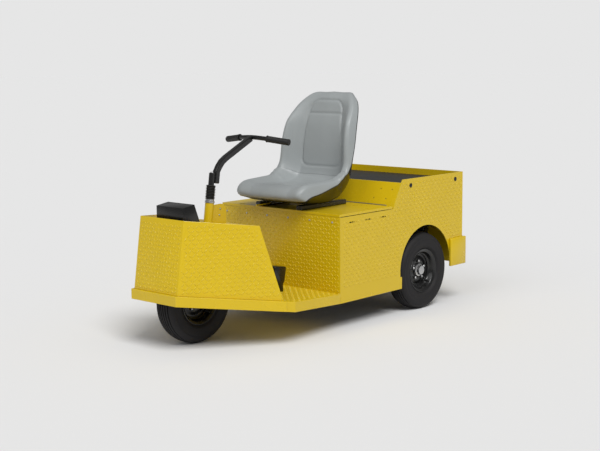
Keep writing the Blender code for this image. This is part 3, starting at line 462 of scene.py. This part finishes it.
def rounded(node, width, name, body, segments=2, smooth_angle=32.0):
    """The part's own piece with its edges rounded: a merged copy, a bevel, and smooth shading."""
    bm = bmesh.new()
    bm.from_mesh(frame["nodes"][node].data)
    bmesh.ops.remove_doubles(bm, verts=bm.verts, dist=1e-6)
    bmesh.ops.dissolve_limit(bm, angle_limit=math.radians(1.0), verts=bm.verts, edges=bm.edges)
    bmesh.ops.recalc_face_normals(bm, faces=bm.faces)
    mesh = bpy.data.meshes.new(name)
    bm.to_mesh(mesh)
    bm.free()
    scratch = bpy.data.objects.new(name + "_scratch", mesh)
    bpy.context.scene.collection.objects.link(scratch)
    mesh.polygons.foreach_set("use_smooth", [True] * len(mesh.polygons))
    bevel = scratch.modifiers.new("round", "BEVEL")
    bevel.width = width
    bevel.segments = segments
    bevel.limit_method = "ANGLE"
    bevel.angle_limit = math.radians(smooth_angle)
    bpy.context.view_layer.update()
    ready = scratch.evaluated_get(bpy.context.evaluated_depsgraph_get())
    final = bpy.data.meshes.new_from_object(ready)
    bpy.data.objects.remove(scratch)
    bm = bmesh.new()
    bm.from_mesh(final)
    crease = 15.0 if width < BROAD_ROUND else 50.0
    return add_piece(name, to_mesh(bm, name, crease), SLOT_OF[node], body, (node,))


# ---------------------------------------------------------------- repeated small shapes
def stamp_tree(shape):
    """Geometry Nodes: one small shape on every point, turned as the point's 'turn' says."""
    tree = bpy.data.node_groups.new("stamp_" + shape, "GeometryNodeTree")
    face = tree.interface
    face.new_socket("Points", in_out="INPUT", socket_type="NodeSocketGeometry")
    for label in ("Length", "Width", "Height"):
        face.new_socket(label, in_out="INPUT", socket_type="NodeSocketFloat")
    face.new_socket("Material", in_out="INPUT", socket_type="NodeSocketMaterial")
    face.new_socket("Geometry", in_out="OUTPUT", socket_type="NodeSocketGeometry")
    given = tree.nodes.new("NodeGroupInput")
    out = tree.nodes.new("NodeGroupOutput")
    if shape == "dome":
        source = tree.nodes.new("GeometryNodeMeshUVSphere")
        source.inputs["Segments"].default_value = 8
        source.inputs["Rings"].default_value = 4
        source.inputs["Radius"].default_value = 1.0
    else:
        source = tree.nodes.new("GeometryNodeMeshCone")
        source.inputs["Vertices"].default_value = 6
        source.inputs["Radius Top"].default_value = 0.80
        source.inputs["Radius Bottom"].default_value = 1.0
        source.inputs["Depth"].default_value = 1.0
    turn = tree.nodes.new("GeometryNodeInputNamedAttribute")
    turn.data_type = "FLOAT_VECTOR"
    turn.inputs["Name"].default_value = "turn"
    size = tree.nodes.new("ShaderNodeCombineXYZ")
    place = tree.nodes.new("GeometryNodeInstanceOnPoints")
    realise = tree.nodes.new("GeometryNodeRealizeInstances")
    coat = tree.nodes.new("GeometryNodeSetMaterial")
    for axis, label in zip("XYZ", ("Length", "Width", "Height")):
        tree.links.new(given.outputs[label], size.inputs[axis])
    tree.links.new(given.outputs["Points"], place.inputs["Points"])
    tree.links.new(source.outputs["Mesh"], place.inputs["Instance"])
    tree.links.new(turn.outputs["Attribute"], place.inputs["Rotation"])
    tree.links.new(size.outputs[0], place.inputs["Scale"])
    tree.links.new(place.outputs[0], realise.inputs[0])
    tree.links.new(realise.outputs[0], coat.inputs["Geometry"])
    tree.links.new(given.outputs["Material"], coat.inputs["Material"])
    tree.links.new(coat.outputs[0], out.inputs["Geometry"])
    return tree


def grown(name, mesh, tree, **values):
    """Run a node tree on a mesh and give its result as a plain mesh."""
    scratch = bpy.data.objects.new(name + "_scratch", mesh)
    bpy.context.scene.collection.objects.link(scratch)
    mod = scratch.modifiers.new("grow", "NODES")
    mod.node_group = tree
    for item in tree.interface.items_tree:
        if item.in_out == "INPUT" and item.name in values:
            mod[item.identifier] = values[item.name]
    bpy.context.view_layer.update()
    ready = scratch.evaluated_get(bpy.context.evaluated_depsgraph_get())
    final = bpy.data.meshes.new_from_object(ready)
    final.name = name
    bpy.data.objects.remove(scratch)
    for extra in [a.name for a in final.attributes if a.name == "turn"]:
        final.attributes.remove(final.attributes[extra])
    return final


def stamped(name, spots, shape, size, slot, body):
    """Stamp a dome or a nut at each (place, rotation matrix); size is length, width, height."""
    mesh = bpy.data.meshes.new(name + "_points")
    mesh.from_pydata([tuple(p) for p, _ in spots], [], [])
    turn = mesh.attributes.new("turn", "FLOAT_VECTOR", "POINT")
    turn.data.foreach_set("vector", [v for _, m in spots for v in m.to_euler("XYZ")])
    final = grown(name, mesh, TREES[shape], Length=size[0], Width=size[1], Height=size[2],
                  Material=PAINTS[slot])
    return add_piece(name, final, slot, body)


def facing(normal, twist=0.0):
    """A rotation whose Z axis is the normal, turned about it."""
    return Vector(normal).to_track_quat("Z", "Y").to_matrix() @ Matrix.Rotation(twist, 3, "Z")


def panel_spots(node, normal, keep=None):
    """Grid places on a part's flat faces that face a direction, as (place, rotation) pairs."""
    mesh = frame["nodes"][node].data
    mesh.calc_loop_triangles()
    normal = Vector(normal).normalized()
    big = [tri for tri in mesh.loop_triangles if tri.area > 1e-4]
    nearest = max(big, key=lambda tri: tri.normal.dot(normal))
    facing_out = nearest.normal.copy()
    depth = mesh.vertices[nearest.vertices[0]].co.dot(facing_out)
    corners = []
    for tri in mesh.loop_triangles:
        places = [mesh.vertices[i].co for i in tri.vertices]
        level = all(abs(p.dot(facing_out) - depth) < 5e-4 for p in places)
        if level and tri.normal.dot(facing_out) > 0.999:
            corners.append(places)
    across = Vector((0.0, 0.0, 1.0)).cross(facing_out)
    if across.length < 0.5:
        across = Vector((1.0, 0.0, 0.0)) - facing_out * facing_out.x
    across.normalize()
    up = facing_out.cross(across)
    flat = np.array([[(c.dot(across), c.dot(up)) for c in three] for three in corners])
    low, high = flat.min(axis=(0, 1)), flat.max(axis=(0, 1))
    spots = []
    basis = Matrix((across, up, facing_out)).transposed()
    for i in range(int(low[0] / TREAD_PITCH), int(high[0] / TREAD_PITCH) + 1):
        for j in range(int(low[1] / TREAD_PITCH) - 1, int(high[1] / TREAD_PITCH) + 2):
            here = np.array([i, j]) * TREAD_PITCH
            ends = [here + np.array(d) * TREAD_MARGIN for d in ((1, 1), (-1, 1), (1, -1), (-1, -1))]
            place = across * here[0] + up * here[1] + facing_out * depth
            if keep is not None and not keep(place):
                continue
            if all(inside(flat, e) for e in ends):
                angle = math.radians(45.0 if (i + j) % 2 else -45.0)
                spots.append((place, basis @ Matrix.Rotation(angle, 3, "Z")))
    return spots


def inside(triangles, spot):
    """Whether a 2-D point is in any of the triangles."""
    a, b, c = triangles[:, 0], triangles[:, 1], triangles[:, 2]
    signs = []
    for p, q in ((a, b), (b, c), (c, a)):
        signs.append((q[:, 0] - p[:, 0]) * (spot[1] - p[:, 1]) - (q[:, 1] - p[:, 1]) * (spot[0] - p[:, 0]))
    signs = np.array(signs)
    return bool(((signs >= -1e-9).all(axis=0) | (signs <= 1e-9).all(axis=0)).any())


def tread(name, spots, body="chassis"):
    size = (TREAD_LENGTH / 2, TREAD_WIDTH / 2, TREAD_HEIGHT)
    return stamped(name, spots, "dome", size, "yellow_plate", body)


# ---------------------------------------------------------------- platform, box and cargo body
def make_plates():
    plates = {"floor_pan": 0.0016, "nose_bumper": 0.0020, "front_apron": 0.0016,
              "wheel_housing": 0.0010, "cowl_plate": 0.0010, "column_gusset": 0.0012,
              "front_box": 0.0050, "brake_pedal": 0.0040, "accelerator_pedal": 0.0040,
              "box_front_wall": 0.0012, "left_side_panel": 0.0012, "right_side_panel": 0.0012,
              "cargo_front_wall": 0.0004, "cargo_floor": 0.0010, "cargo_mat": 0.0022,
              "rear_wall": 0.0012, "rear_bumper": 0.0040, "tow_hitch": 0.0030,
              "frame_rail_left": 0.0030, "frame_rail_right": 0.0030}
    for node, width in plates.items():
        rounded(node, width, node + "_skin", "chassis")
    rounded("seat_deck", 0.0012, "seat_deck_skin", "seat_deck")
    for side in ("left", "right"):
        rounded("seat_slide_" + side, 0.0010, "seat_slide_%s_skin" % side, "seat_deck")
    rounded("front_fork", 0.0040, "front_fork_skin", "steering", 3)
    rounded("tiller_post", 0.0012, "tiller_post_skin", "steering", 2, 50.0)


def make_tread():
    tread("tread_nose", panel_spots("front_apron", NOSE_NORMAL))
    for side, label in ((1, "left"), (-1, "right")):
        wing = (side * WING_NORMAL[0], *WING_NORMAL[1:])
        tread("tread_wing_" + label, panel_spots("front_apron", wing))
        panel = label + "_side_panel"
        tread("tread_side_" + label, panel_spots(panel, (side, 0, 0), lambda p: p.z > SILL_CLEAR_Z))
        y, z = RAIL_CLEAR
        tread("tread_rail_" + label, panel_spots(panel, (-side, 0, 0), lambda p: p.z > z and p.y > y))
    slopes = [panel_spots("floor_pan", normal) for normal in FLOOR_NORMALS]
    tread("tread_floor", slopes[0] + slopes[1])
    tread("tread_box", panel_spots("box_front_wall", (0, -1, 0)))
    tread("tread_rear", panel_spots("rear_wall", (0, 1, 0), lambda p: p.z > FLAP_CLEAR_Z))


def make_fixings():
    """Domed heads and black plugs on the body."""
    heads = [(Vector((x, BOX_FRONT, BOX_BOLTS_Z)), facing((0, -1, 0))) for x in BOX_BOLTS_X]
    stamped("box_wall_bolts", heads, "dome", BOLT_HEAD, "steel", "chassis")
    plugs = [(Vector((side * BODY_HALF, y, PLUGS_Z)), facing((side, 0, 0)))
             for side in (1, -1) for y in PLUGS_Y]
    stamped("cargo_side_plugs", plugs, "dome", SIDE_PLUG, "rubber", "chassis")
    ears = [(Vector((side * GUSSET_HALF, y, z)), facing((side, 0, 0)))
            for side in (1, -1) for y, z in GUSSET_BOLTS]
    stamped("gusset_bolts", ears, "dome", SMALL_BOLT, "steel", "chassis")
    cap = [(steer_at(STEM_TOP_Z), facing(STEER_AXIS))]
    stamped("stem_cap_bolt", cap, "dome", STEM_BOLT, "steel", "steering")
    x, y, z = PEDAL_PIVOT
    pivots = [(Vector((side * x, y, z)), facing((0, 1, 0))) for side in (1, -1)]
    stamped("pedal_pivots", pivots, "nut", PEDAL_NUT, "steel", "chassis")


def steer_at(z):
    return STEER_POINT + STEER_AXIS * ((z - STEER_POINT.z) / STEER_AXIS.z)


# ---------------------------------------------------------------- wheels
def tyre_profile():
    """The tyre's outline from bead to bead, with a ring on each wall and six grooves."""
    half = [(RIM_HALF - 0.0078, 0.1020), (RIM_HALF - 0.0050, RIM_R + 0.0008), (RIM_HALF + 0.0010, 0.1205),
            (0.0500, 0.1265), (0.0515, 0.1275), (0.0525, 0.1290), (0.0535, 0.1350), (0.0553, 0.1450),
            (0.0560, 0.1540), (0.0556, 0.1640), (0.0546, 0.1730), (0.0556, 0.1750), (0.0540, 0.1830),
            (0.0510, 0.1890), (0.0470, 0.1940)]
    for centre in (0.0335, 0.0200, 0.0067):
        for offset, depth in ((0.0036, 0.0), (0.0024, 0.0065), (-0.0024, 0.0065), (-0.0036, 0.0)):
            x = centre + offset
            half.append((x, WHEEL_R - 0.0100 * (x / 0.047) ** 2 - depth))
    return half + [(-x, r) for x, r in reversed(half)]


def rim_profile():
    """A deep-dish pressed rim: rolled lip, drop well, stepped disc and a raised hub seat."""
    bead = BEAD_R
    outer = [(RIM_HALF, RIM_R - 0.0006), (RIM_HALF - 0.002, RIM_R), (RIM_HALF - 0.004, RIM_R - 0.001),
             (RIM_HALF - 0.007, bead), (0.014, bead), (0.010, bead - 0.010), (-0.010, bead - 0.010),
             (-0.014, bead), (-RIM_HALF + 0.007, bead), (-RIM_HALF + 0.004, RIM_R - 0.001),
             (-RIM_HALF + 0.002, RIM_R), (-RIM_HALF, RIM_R - 0.0006)]
    inner = [(-RIM_HALF, RIM_R - 0.003), (-RIM_HALF + 0.005, bead - 0.003), (-0.016, bead - 0.003),
             (-0.010, bead - 0.014), (-0.006, 0.075), (0.002, 0.060), (0.002, 0.034),
             (0.006, 0.034), (0.0075, 0.0365), (0.0075, 0.058), (0.006, 0.0615), (-0.001, 0.074),
             (-0.001, 0.079), (0.002, bead - 0.014), (0.010, bead - 0.0135), (0.013, bead - 0.009),
             (0.018, bead - 0.0045), (RIM_HALF - 0.008, bead - 0.003), (RIM_HALF - 0.005, bead),
             (RIM_HALF - 0.003, RIM_R - 0.007), (RIM_HALF, RIM_R - 0.003)]
    return outer + inner


def make_wheels():
    for name, centre in WHEEL_CENTRES.items():
        side = -1 if centre[0] < 0 else 1
        body = WHEEL_BODIES[name]
        bm = bmesh.new()
        lathe(bm, [(side * x, r) for x, r in tyre_profile()], centre, (1, 0, 0), 112)
        add_piece(name + "_tyre_tread", to_mesh(bm, name + "_tyre_tread"), "tyre", body,
                  (name + "_tyre",))
        bm = bmesh.new()
        lathe(bm, [(side * x, r) for x, r in rim_profile()], centre, (1, 0, 0), 96)
        add_piece(name + "_rim_dish", to_mesh(bm, name + "_rim_dish", 50.0), "black_metal", body,
                  (name + "_rim",))
        spots = []
        for k in range(NUTS):
            a = math.radians(90.0 + 360.0 * k / NUTS)
            out = Vector((side * 0.0105, NUT_CIRCLE * math.cos(a), NUT_CIRCLE * math.sin(a)))
            spots.append((Vector(centre) + out, facing((side, 0, 0), a)))
        stamped(name + "_wheel_nuts", spots, "nut", WHEEL_NUT, "steel", body)
        bm = bmesh.new()
        stem = [(0.0, 0.0), (0.0, 0.0045), (0.012, 0.0040), (0.013, 0.0032), (0.026, 0.0030),
                (0.027, 0.0)]
        foot = Vector(centre) + Vector((side * 0.0125, 0.062, -0.062))
        lathe(bm, stem, foot, (side, 0.25, -0.25), 14)
        add_piece(name + "_valve", to_mesh(bm, name + "_valve"), "rubber", body)


# ---------------------------------------------------------------- steering
def make_bellows():
    """A sleeve whose radius swells once per rib."""
    samples = 8
    profile = [(0.0, STEM_R + 0.0003)]
    for k in range(BELLOWS_RIBS * samples + 1):
        wave = 0.5 - 0.5 * math.cos(2.0 * math.pi * k / samples)
        along = BELLOWS_HEIGHT * k / (BELLOWS_RIBS * samples)
        profile.append((along, BELLOWS_R + BELLOWS_RISE * wave ** 0.7))
    profile.append((BELLOWS_HEIGHT, STEM_R + 0.0003))
    bm = bmesh.new()
    lathe(bm, profile, steer_at(COLLAR_Z) + STEER_AXIS * COLLAR_HEIGHT, STEER_AXIS, 48)
    add_piece("bellows_ribs", to_mesh(bm, "bellows_ribs", 60.0), "rubber", "steering", ("stem_bellows",))


def grip_profile(length):
    """From the bore out to a flange, along the ribs and over the closed end."""
    r = GRIP_R
    profile = [(length - 0.010, 0.0), (length - 0.010, BAR_R + 0.0006), (0.0, BAR_R + 0.0006),
               (0.0, 0.0160), (0.0015, 0.0172), (0.0040, 0.0172), (0.0060, r)]
    for k in range(GRIP_RIBS):
        x = 0.010 + k * (length - 0.022) / GRIP_RIBS
        profile += [(x, r), (x + 0.0015, r + 0.0007), (x + 0.0040, r + 0.0007), (x + 0.0055, r)]
    return profile + [(length - 0.007, 0.0158), (length - 0.002, 0.0156), (length, 0.0135), (length, 0.0)]


def make_handlebar():
    mirror = Matrix.Diagonal((-1.0, 1.0, 1.0))
    path = bent([mirror @ BAR_END, mirror @ BAR_BEND, BAR_MIDDLE, BAR_BEND, BAR_END], 0.05)
    bm = bmesh.new()
    sweep(bm, path, BAR_R, 24)
    add_piece("handlebar_tube", to_mesh(bm, "handlebar_tube"), "black_metal", "steering", ("handlebar",))
    run = (BAR_END - BAR_BEND).normalized()
    profile = grip_profile((BAR_END - BAR_BEND).length + 0.008)
    for side, label in ((mirror, "right"), (Matrix.Identity(3), "left")):
        bm = bmesh.new()
        lathe(bm, profile, side @ (BAR_BEND + run * 0.006), side @ run, 36)
        add_piece(label + "_grip_ribs", to_mesh(bm, label + "_grip_ribs"), "rubber", "steering",
                  (label + "_grip",))


def bent(points, radius, steps=6):
    """A path through points with each inner corner replaced by a round bend."""
    path = [points[0]]
    for before, corner, after in zip(points, points[1:], points[2:]):
        a = corner + (before - corner).normalized() * min(radius, (before - corner).length * 0.4)
        b = corner + (after - corner).normalized() * min(radius, (after - corner).length * 0.4)
        for k in range(steps + 1):
            t = k / steps
            path.append(a * (1 - t) ** 2 + corner * 2 * t * (1 - t) + b * t ** 2)
    return path + [points[-1]]


def sweep(bm, path, radius, steps):
    """A round bar along a path, closed at both ends."""
    rings = []
    for i, p in enumerate(path):
        run = (path[min(i + 1, len(path) - 1)] - path[max(i - 1, 0)]).normalized()
        across = run.cross(Vector((0.0, 0.0, 1.0))).normalized()
        up = across.cross(run)
        angles = [2.0 * math.pi * k / steps for k in range(steps)]
        spokes = [across * math.cos(a) + up * math.sin(a) for a in angles]
        rings.append([bm.verts.new(p + spoke * radius) for spoke in spokes])
    for a, b in zip(rings, rings[1:]):
        for k in range(steps):
            n = (k + 1) % steps
            bm.faces.new((a[k], a[n], b[n], b[k]))
    bm.faces.new(rings[0])
    bm.faces.new(rings[-1])


# ---------------------------------------------------------------- springs
def coil_tree():
    """Geometry Nodes: a wire coil of given radius, height and turns."""
    tree = bpy.data.node_groups.new("coil", "GeometryNodeTree")
    face = tree.interface
    face.new_socket("Geometry", in_out="INPUT", socket_type="NodeSocketGeometry")
    for label in ("Turns", "Radius", "Height", "Wire"):
        face.new_socket(label, in_out="INPUT", socket_type="NodeSocketFloat")
    face.new_socket("Material", in_out="INPUT", socket_type="NodeSocketMaterial")
    face.new_socket("Geometry", in_out="OUTPUT", socket_type="NodeSocketGeometry")
    given = tree.nodes.new("NodeGroupInput")
    out = tree.nodes.new("NodeGroupOutput")
    spiral = tree.nodes.new("GeometryNodeCurveSpiral")
    spiral.inputs["Resolution"].default_value = 20
    ring = tree.nodes.new("GeometryNodeCurvePrimitiveCircle")
    ring.inputs["Resolution"].default_value = 10
    body = tree.nodes.new("GeometryNodeCurveToMesh")
    body.inputs["Fill Caps"].default_value = True
    coat = tree.nodes.new("GeometryNodeSetMaterial")
    tree.links.new(given.outputs["Turns"], spiral.inputs["Rotations"])
    tree.links.new(given.outputs["Radius"], spiral.inputs["Start Radius"])
    tree.links.new(given.outputs["Radius"], spiral.inputs["End Radius"])
    tree.links.new(given.outputs["Height"], spiral.inputs["Height"])
    tree.links.new(given.outputs["Wire"], ring.inputs["Radius"])
    tree.links.new(spiral.outputs[0], body.inputs["Curve"])
    tree.links.new(ring.outputs[0], body.inputs["Profile Curve"])
    tree.links.new(body.outputs[0], coat.inputs["Geometry"])
    tree.links.new(given.outputs["Material"], coat.inputs["Material"])
    tree.links.new(coat.outputs[0], out.inputs["Geometry"])
    return tree


def make_springs():
    for side, label in ((1, "left"), (-1, "right")):
        low = Vector((side * SHOCK_LOW[0], *SHOCK_LOW[1:]))
        high = Vector((side * SHOCK_HIGH[0], *SHOCK_HIGH[1:]))
        run = high - low
        length = run.length
        bm = bmesh.new()
        damper = [(0.0, 0.0), (0.0, 0.009), (0.020, 0.010), (0.021, 0.0175), (0.026, 0.0175),
                  (0.027, 0.0105), (0.105, 0.0105), (0.107, 0.0060), (length - 0.026, 0.0060),
                  (length - 0.025, 0.0175), (length - 0.021, 0.0175), (length - 0.020, 0.009),
                  (length, 0.009), (length, 0.0)]
        lathe(bm, damper, low, run, 28)
        coil = grown("coil", bpy.data.meshes.new("coil_seed"), TREES["coil"], Turns=7.0, Radius=0.0148,
                     Height=length - 2 * COIL_INSET, Wire=0.0026, Material=PAINTS["black_metal"])
        coil.transform(Matrix.Translation(low + run.normalized() * COIL_INSET) @ facing(run).to_4x4())
        bm.from_mesh(coil)
        name = "rear_shock_%s_coil" % label
        add_piece(name, to_mesh(bm, name), "black_metal", "chassis", ("rear_shock_" + label,))


# ---------------------------------------------------------------- seat
def smooth_through(xs, ys, at):
    """A smooth curve through points that never overshoots them."""
    xs, ys = np.asarray(xs, float), np.asarray(ys, float)
    steps = np.diff(xs)
    slopes = np.diff(ys) / steps
    tangent = np.zeros(len(xs))
    same = slopes[:-1] * slopes[1:] > 0
    mean = 2.0 * slopes[:-1] * slopes[1:] / np.where(same, slopes[:-1] + slopes[1:], 1.0)
    tangent[1:-1] = np.where(same, mean, 0.0)
    tangent[0], tangent[-1] = slopes[0], slopes[-1]
    k = np.clip(np.searchsorted(xs, at, side="right") - 1, 0, len(steps) - 1)
    t = (at - xs[k]) / steps[k]
    h = steps[k]
    start = (1 + 2 * t) * (1 - t) ** 2 * ys[k] + t * (1 - t) ** 2 * h * tangent[k]
    return start + t * t * (3 - 2 * t) * ys[k + 1] + t * t * (t - 1) * h * tangent[k + 1]


def stations(first, last):
    """Sections between two of the table's rows, close together and smooth."""
    count = int(round((last - first) * STATIONS_PER_STEP)) + 1
    at = np.linspace(first, last, count)
    rows = np.arange(len(SEAT_SECTIONS))
    return np.array([smooth_through(rows, column, at) for column in SEAT_SECTIONS.T]).T


def shell_height(section, x):
    half, lift = section[3], section[7]
    share = np.maximum(0.0, np.abs(x) / half - FLAT_SHARE) / (1.0 - FLAT_SHARE)
    return lift * share ** 1.6


def foam_height(section, x):
    """Foam over the shell's middle line: crowned middle, round bolsters, rolled edge."""
    half, middle, crest_x, crest, lift = section[3:]
    inner = 0.62 * crest_x
    xs = [0.0, inner, 0.5 * (inner + crest_x), crest_x, 0.4 * crest_x + 0.6 * half, half]
    ys = [middle + CROWN, middle, 0.5 * (middle + crest), crest, 0.85 * crest + 0.15 * lift,
          lift + FOAM_EDGE]
    return smooth_through(xs, ys, np.abs(x))


def box_distance(u, v, half_u, half_v, corner):
    """Distance from a rounded rectangle's outline, negative inside."""
    qu, qv = np.abs(u) - half_u + corner, np.abs(v) - half_v + corner
    outside = np.hypot(np.maximum(qu, 0.0), np.maximum(qv, 0.0))
    return outside + np.minimum(np.maximum(qu, qv), 0.0) - corner


def groove(section, x):
    """Depth of the pressed panel lines across one section."""
    y, z, lean = section[:3]
    if lean > BACK_LEAN and z > BACK_FOOT_Z:
        low, high, wide_low, wide_high = BACK_PANEL
        share = np.clip((z - low) / (high - low), 0.0, 1.0)
        half = wide_low + share ** 2 * (wide_high - wide_low)
        line = np.abs(box_distance(x, z - (low + high) / 2, half, (high - low) / 2, PANEL_CORNER))
        rule = np.where(np.abs(x) < half, abs(z - BACK_LINE_Z), 1.0)
        line = np.minimum(line, rule)
    else:
        front, rear, wide_front, wide_rear = PAD_PANEL
        share = np.clip((y - front) / (rear - front), 0.0, 1.0)
        half = wide_front + share * (wide_rear - wide_front)
        line = np.abs(box_distance(x, y - (front + rear) / 2, half, (rear - front) / 2, PANEL_CORNER))
    return GROOVE_DEPTH * np.exp(-(line / GROOVE_WIDTH) ** 2)


def section_points(section, x, height):
    y, z, lean = section[:3]
    a = math.radians(lean)
    return np.stack([x, y - height * math.sin(a), z + height * math.cos(a)], axis=1)


def across(section):
    """Places across one half, closer together toward the edge."""
    share = np.linspace(0.0, 1.0, ACROSS)
    x = section[3] * np.sin(share * math.pi / 2) ** 0.9
    return np.concatenate([-x[:0:-1], x])


def foam_ring(section):
    x = across(section)
    base = shell_height(section, x) + FOAM_GAP
    top = foam_height(section, x) - groove(section, x)
    roll = np.clip((np.abs(x) - section[3] + EDGE_ROLL) / EDGE_ROLL, 0.0, 1.0)
    drop = EDGE_DROP * (1.0 - np.sqrt(1.0 - roll ** 2))
    top = np.maximum(top - drop, base + EDGE_LEAST)
    return np.concatenate([section_points(section, x, top), section_points(section, x, base)[::-1]])


def shell_ring(section):
    x = across(section)
    inner = shell_height(section, x)
    ring = [section_points(section, x, inner - SHELL_THICK), section_points(section, x, inner)[::-1]]
    return np.concatenate(ring)


def lofted(rings, name, crease):
    bm = bmesh.new()
    loops = [[bm.verts.new(p) for p in ring] for ring in rings]
    for a, b in zip(loops, loops[1:]):
        for k in range(len(a)):
            n = (k + 1) % len(a)
            bm.faces.new((a[k], a[n], b[n], b[k]))
    for loop in (loops[0], loops[-1]):
        half = len(loop) // 2
        for k in range(half - 1):
            bm.faces.new((loop[k], loop[k + 1], loop[-2 - k], loop[-1 - k]))
    return to_mesh(bm, name, crease)


def make_seat():
    seam = PAD_END + 0.02
    last = len(SEAT_SECTIONS) - 1
    pad = stations(0, PAD_END)
    back = stations(seam, last)
    for name, node, rows in (("seat_cushion", "seat_pad", pad), ("seat_backrest", "seat_back", back)):
        mesh = lofted([foam_ring(row) for row in rows], name, 75.0)
        cushion = add_piece(name, mesh, "vinyl", "seat_deck", (node,))
    shell_mesh = lofted([shell_ring(row) for row in stations(0, last)], "seat_bucket_shell", 50.0)
    add_piece("seat_bucket_shell", shell_mesh, "black_metal", "seat_deck", ("seat_shell",))


# ---------------------------------------------------------------- assembly
make_camera()
bpy.context.scene.view_settings.view_transform = "Standard"
make_world()
make_floor()
make_lamps()
GROUPS = {"grain": grain_group(), "edge": edge_group(), "dust": dust_group()}
PAINTS = {name: make_material(name, look) for name, look in LOOKS.items()}
TREES = {"dome": stamp_tree("dome"), "nut": stamp_tree("nut"), "coil": coil_tree()}
for label, node_object in frame["nodes"].items():
    node_object.data.materials.clear()
    node_object.data.materials.append(PAINTS[SLOT_OF[label]])
make_plates()
make_tread()
make_fixings()
make_wheels()
make_bellows()
make_handlebar()
make_springs()
make_seat()
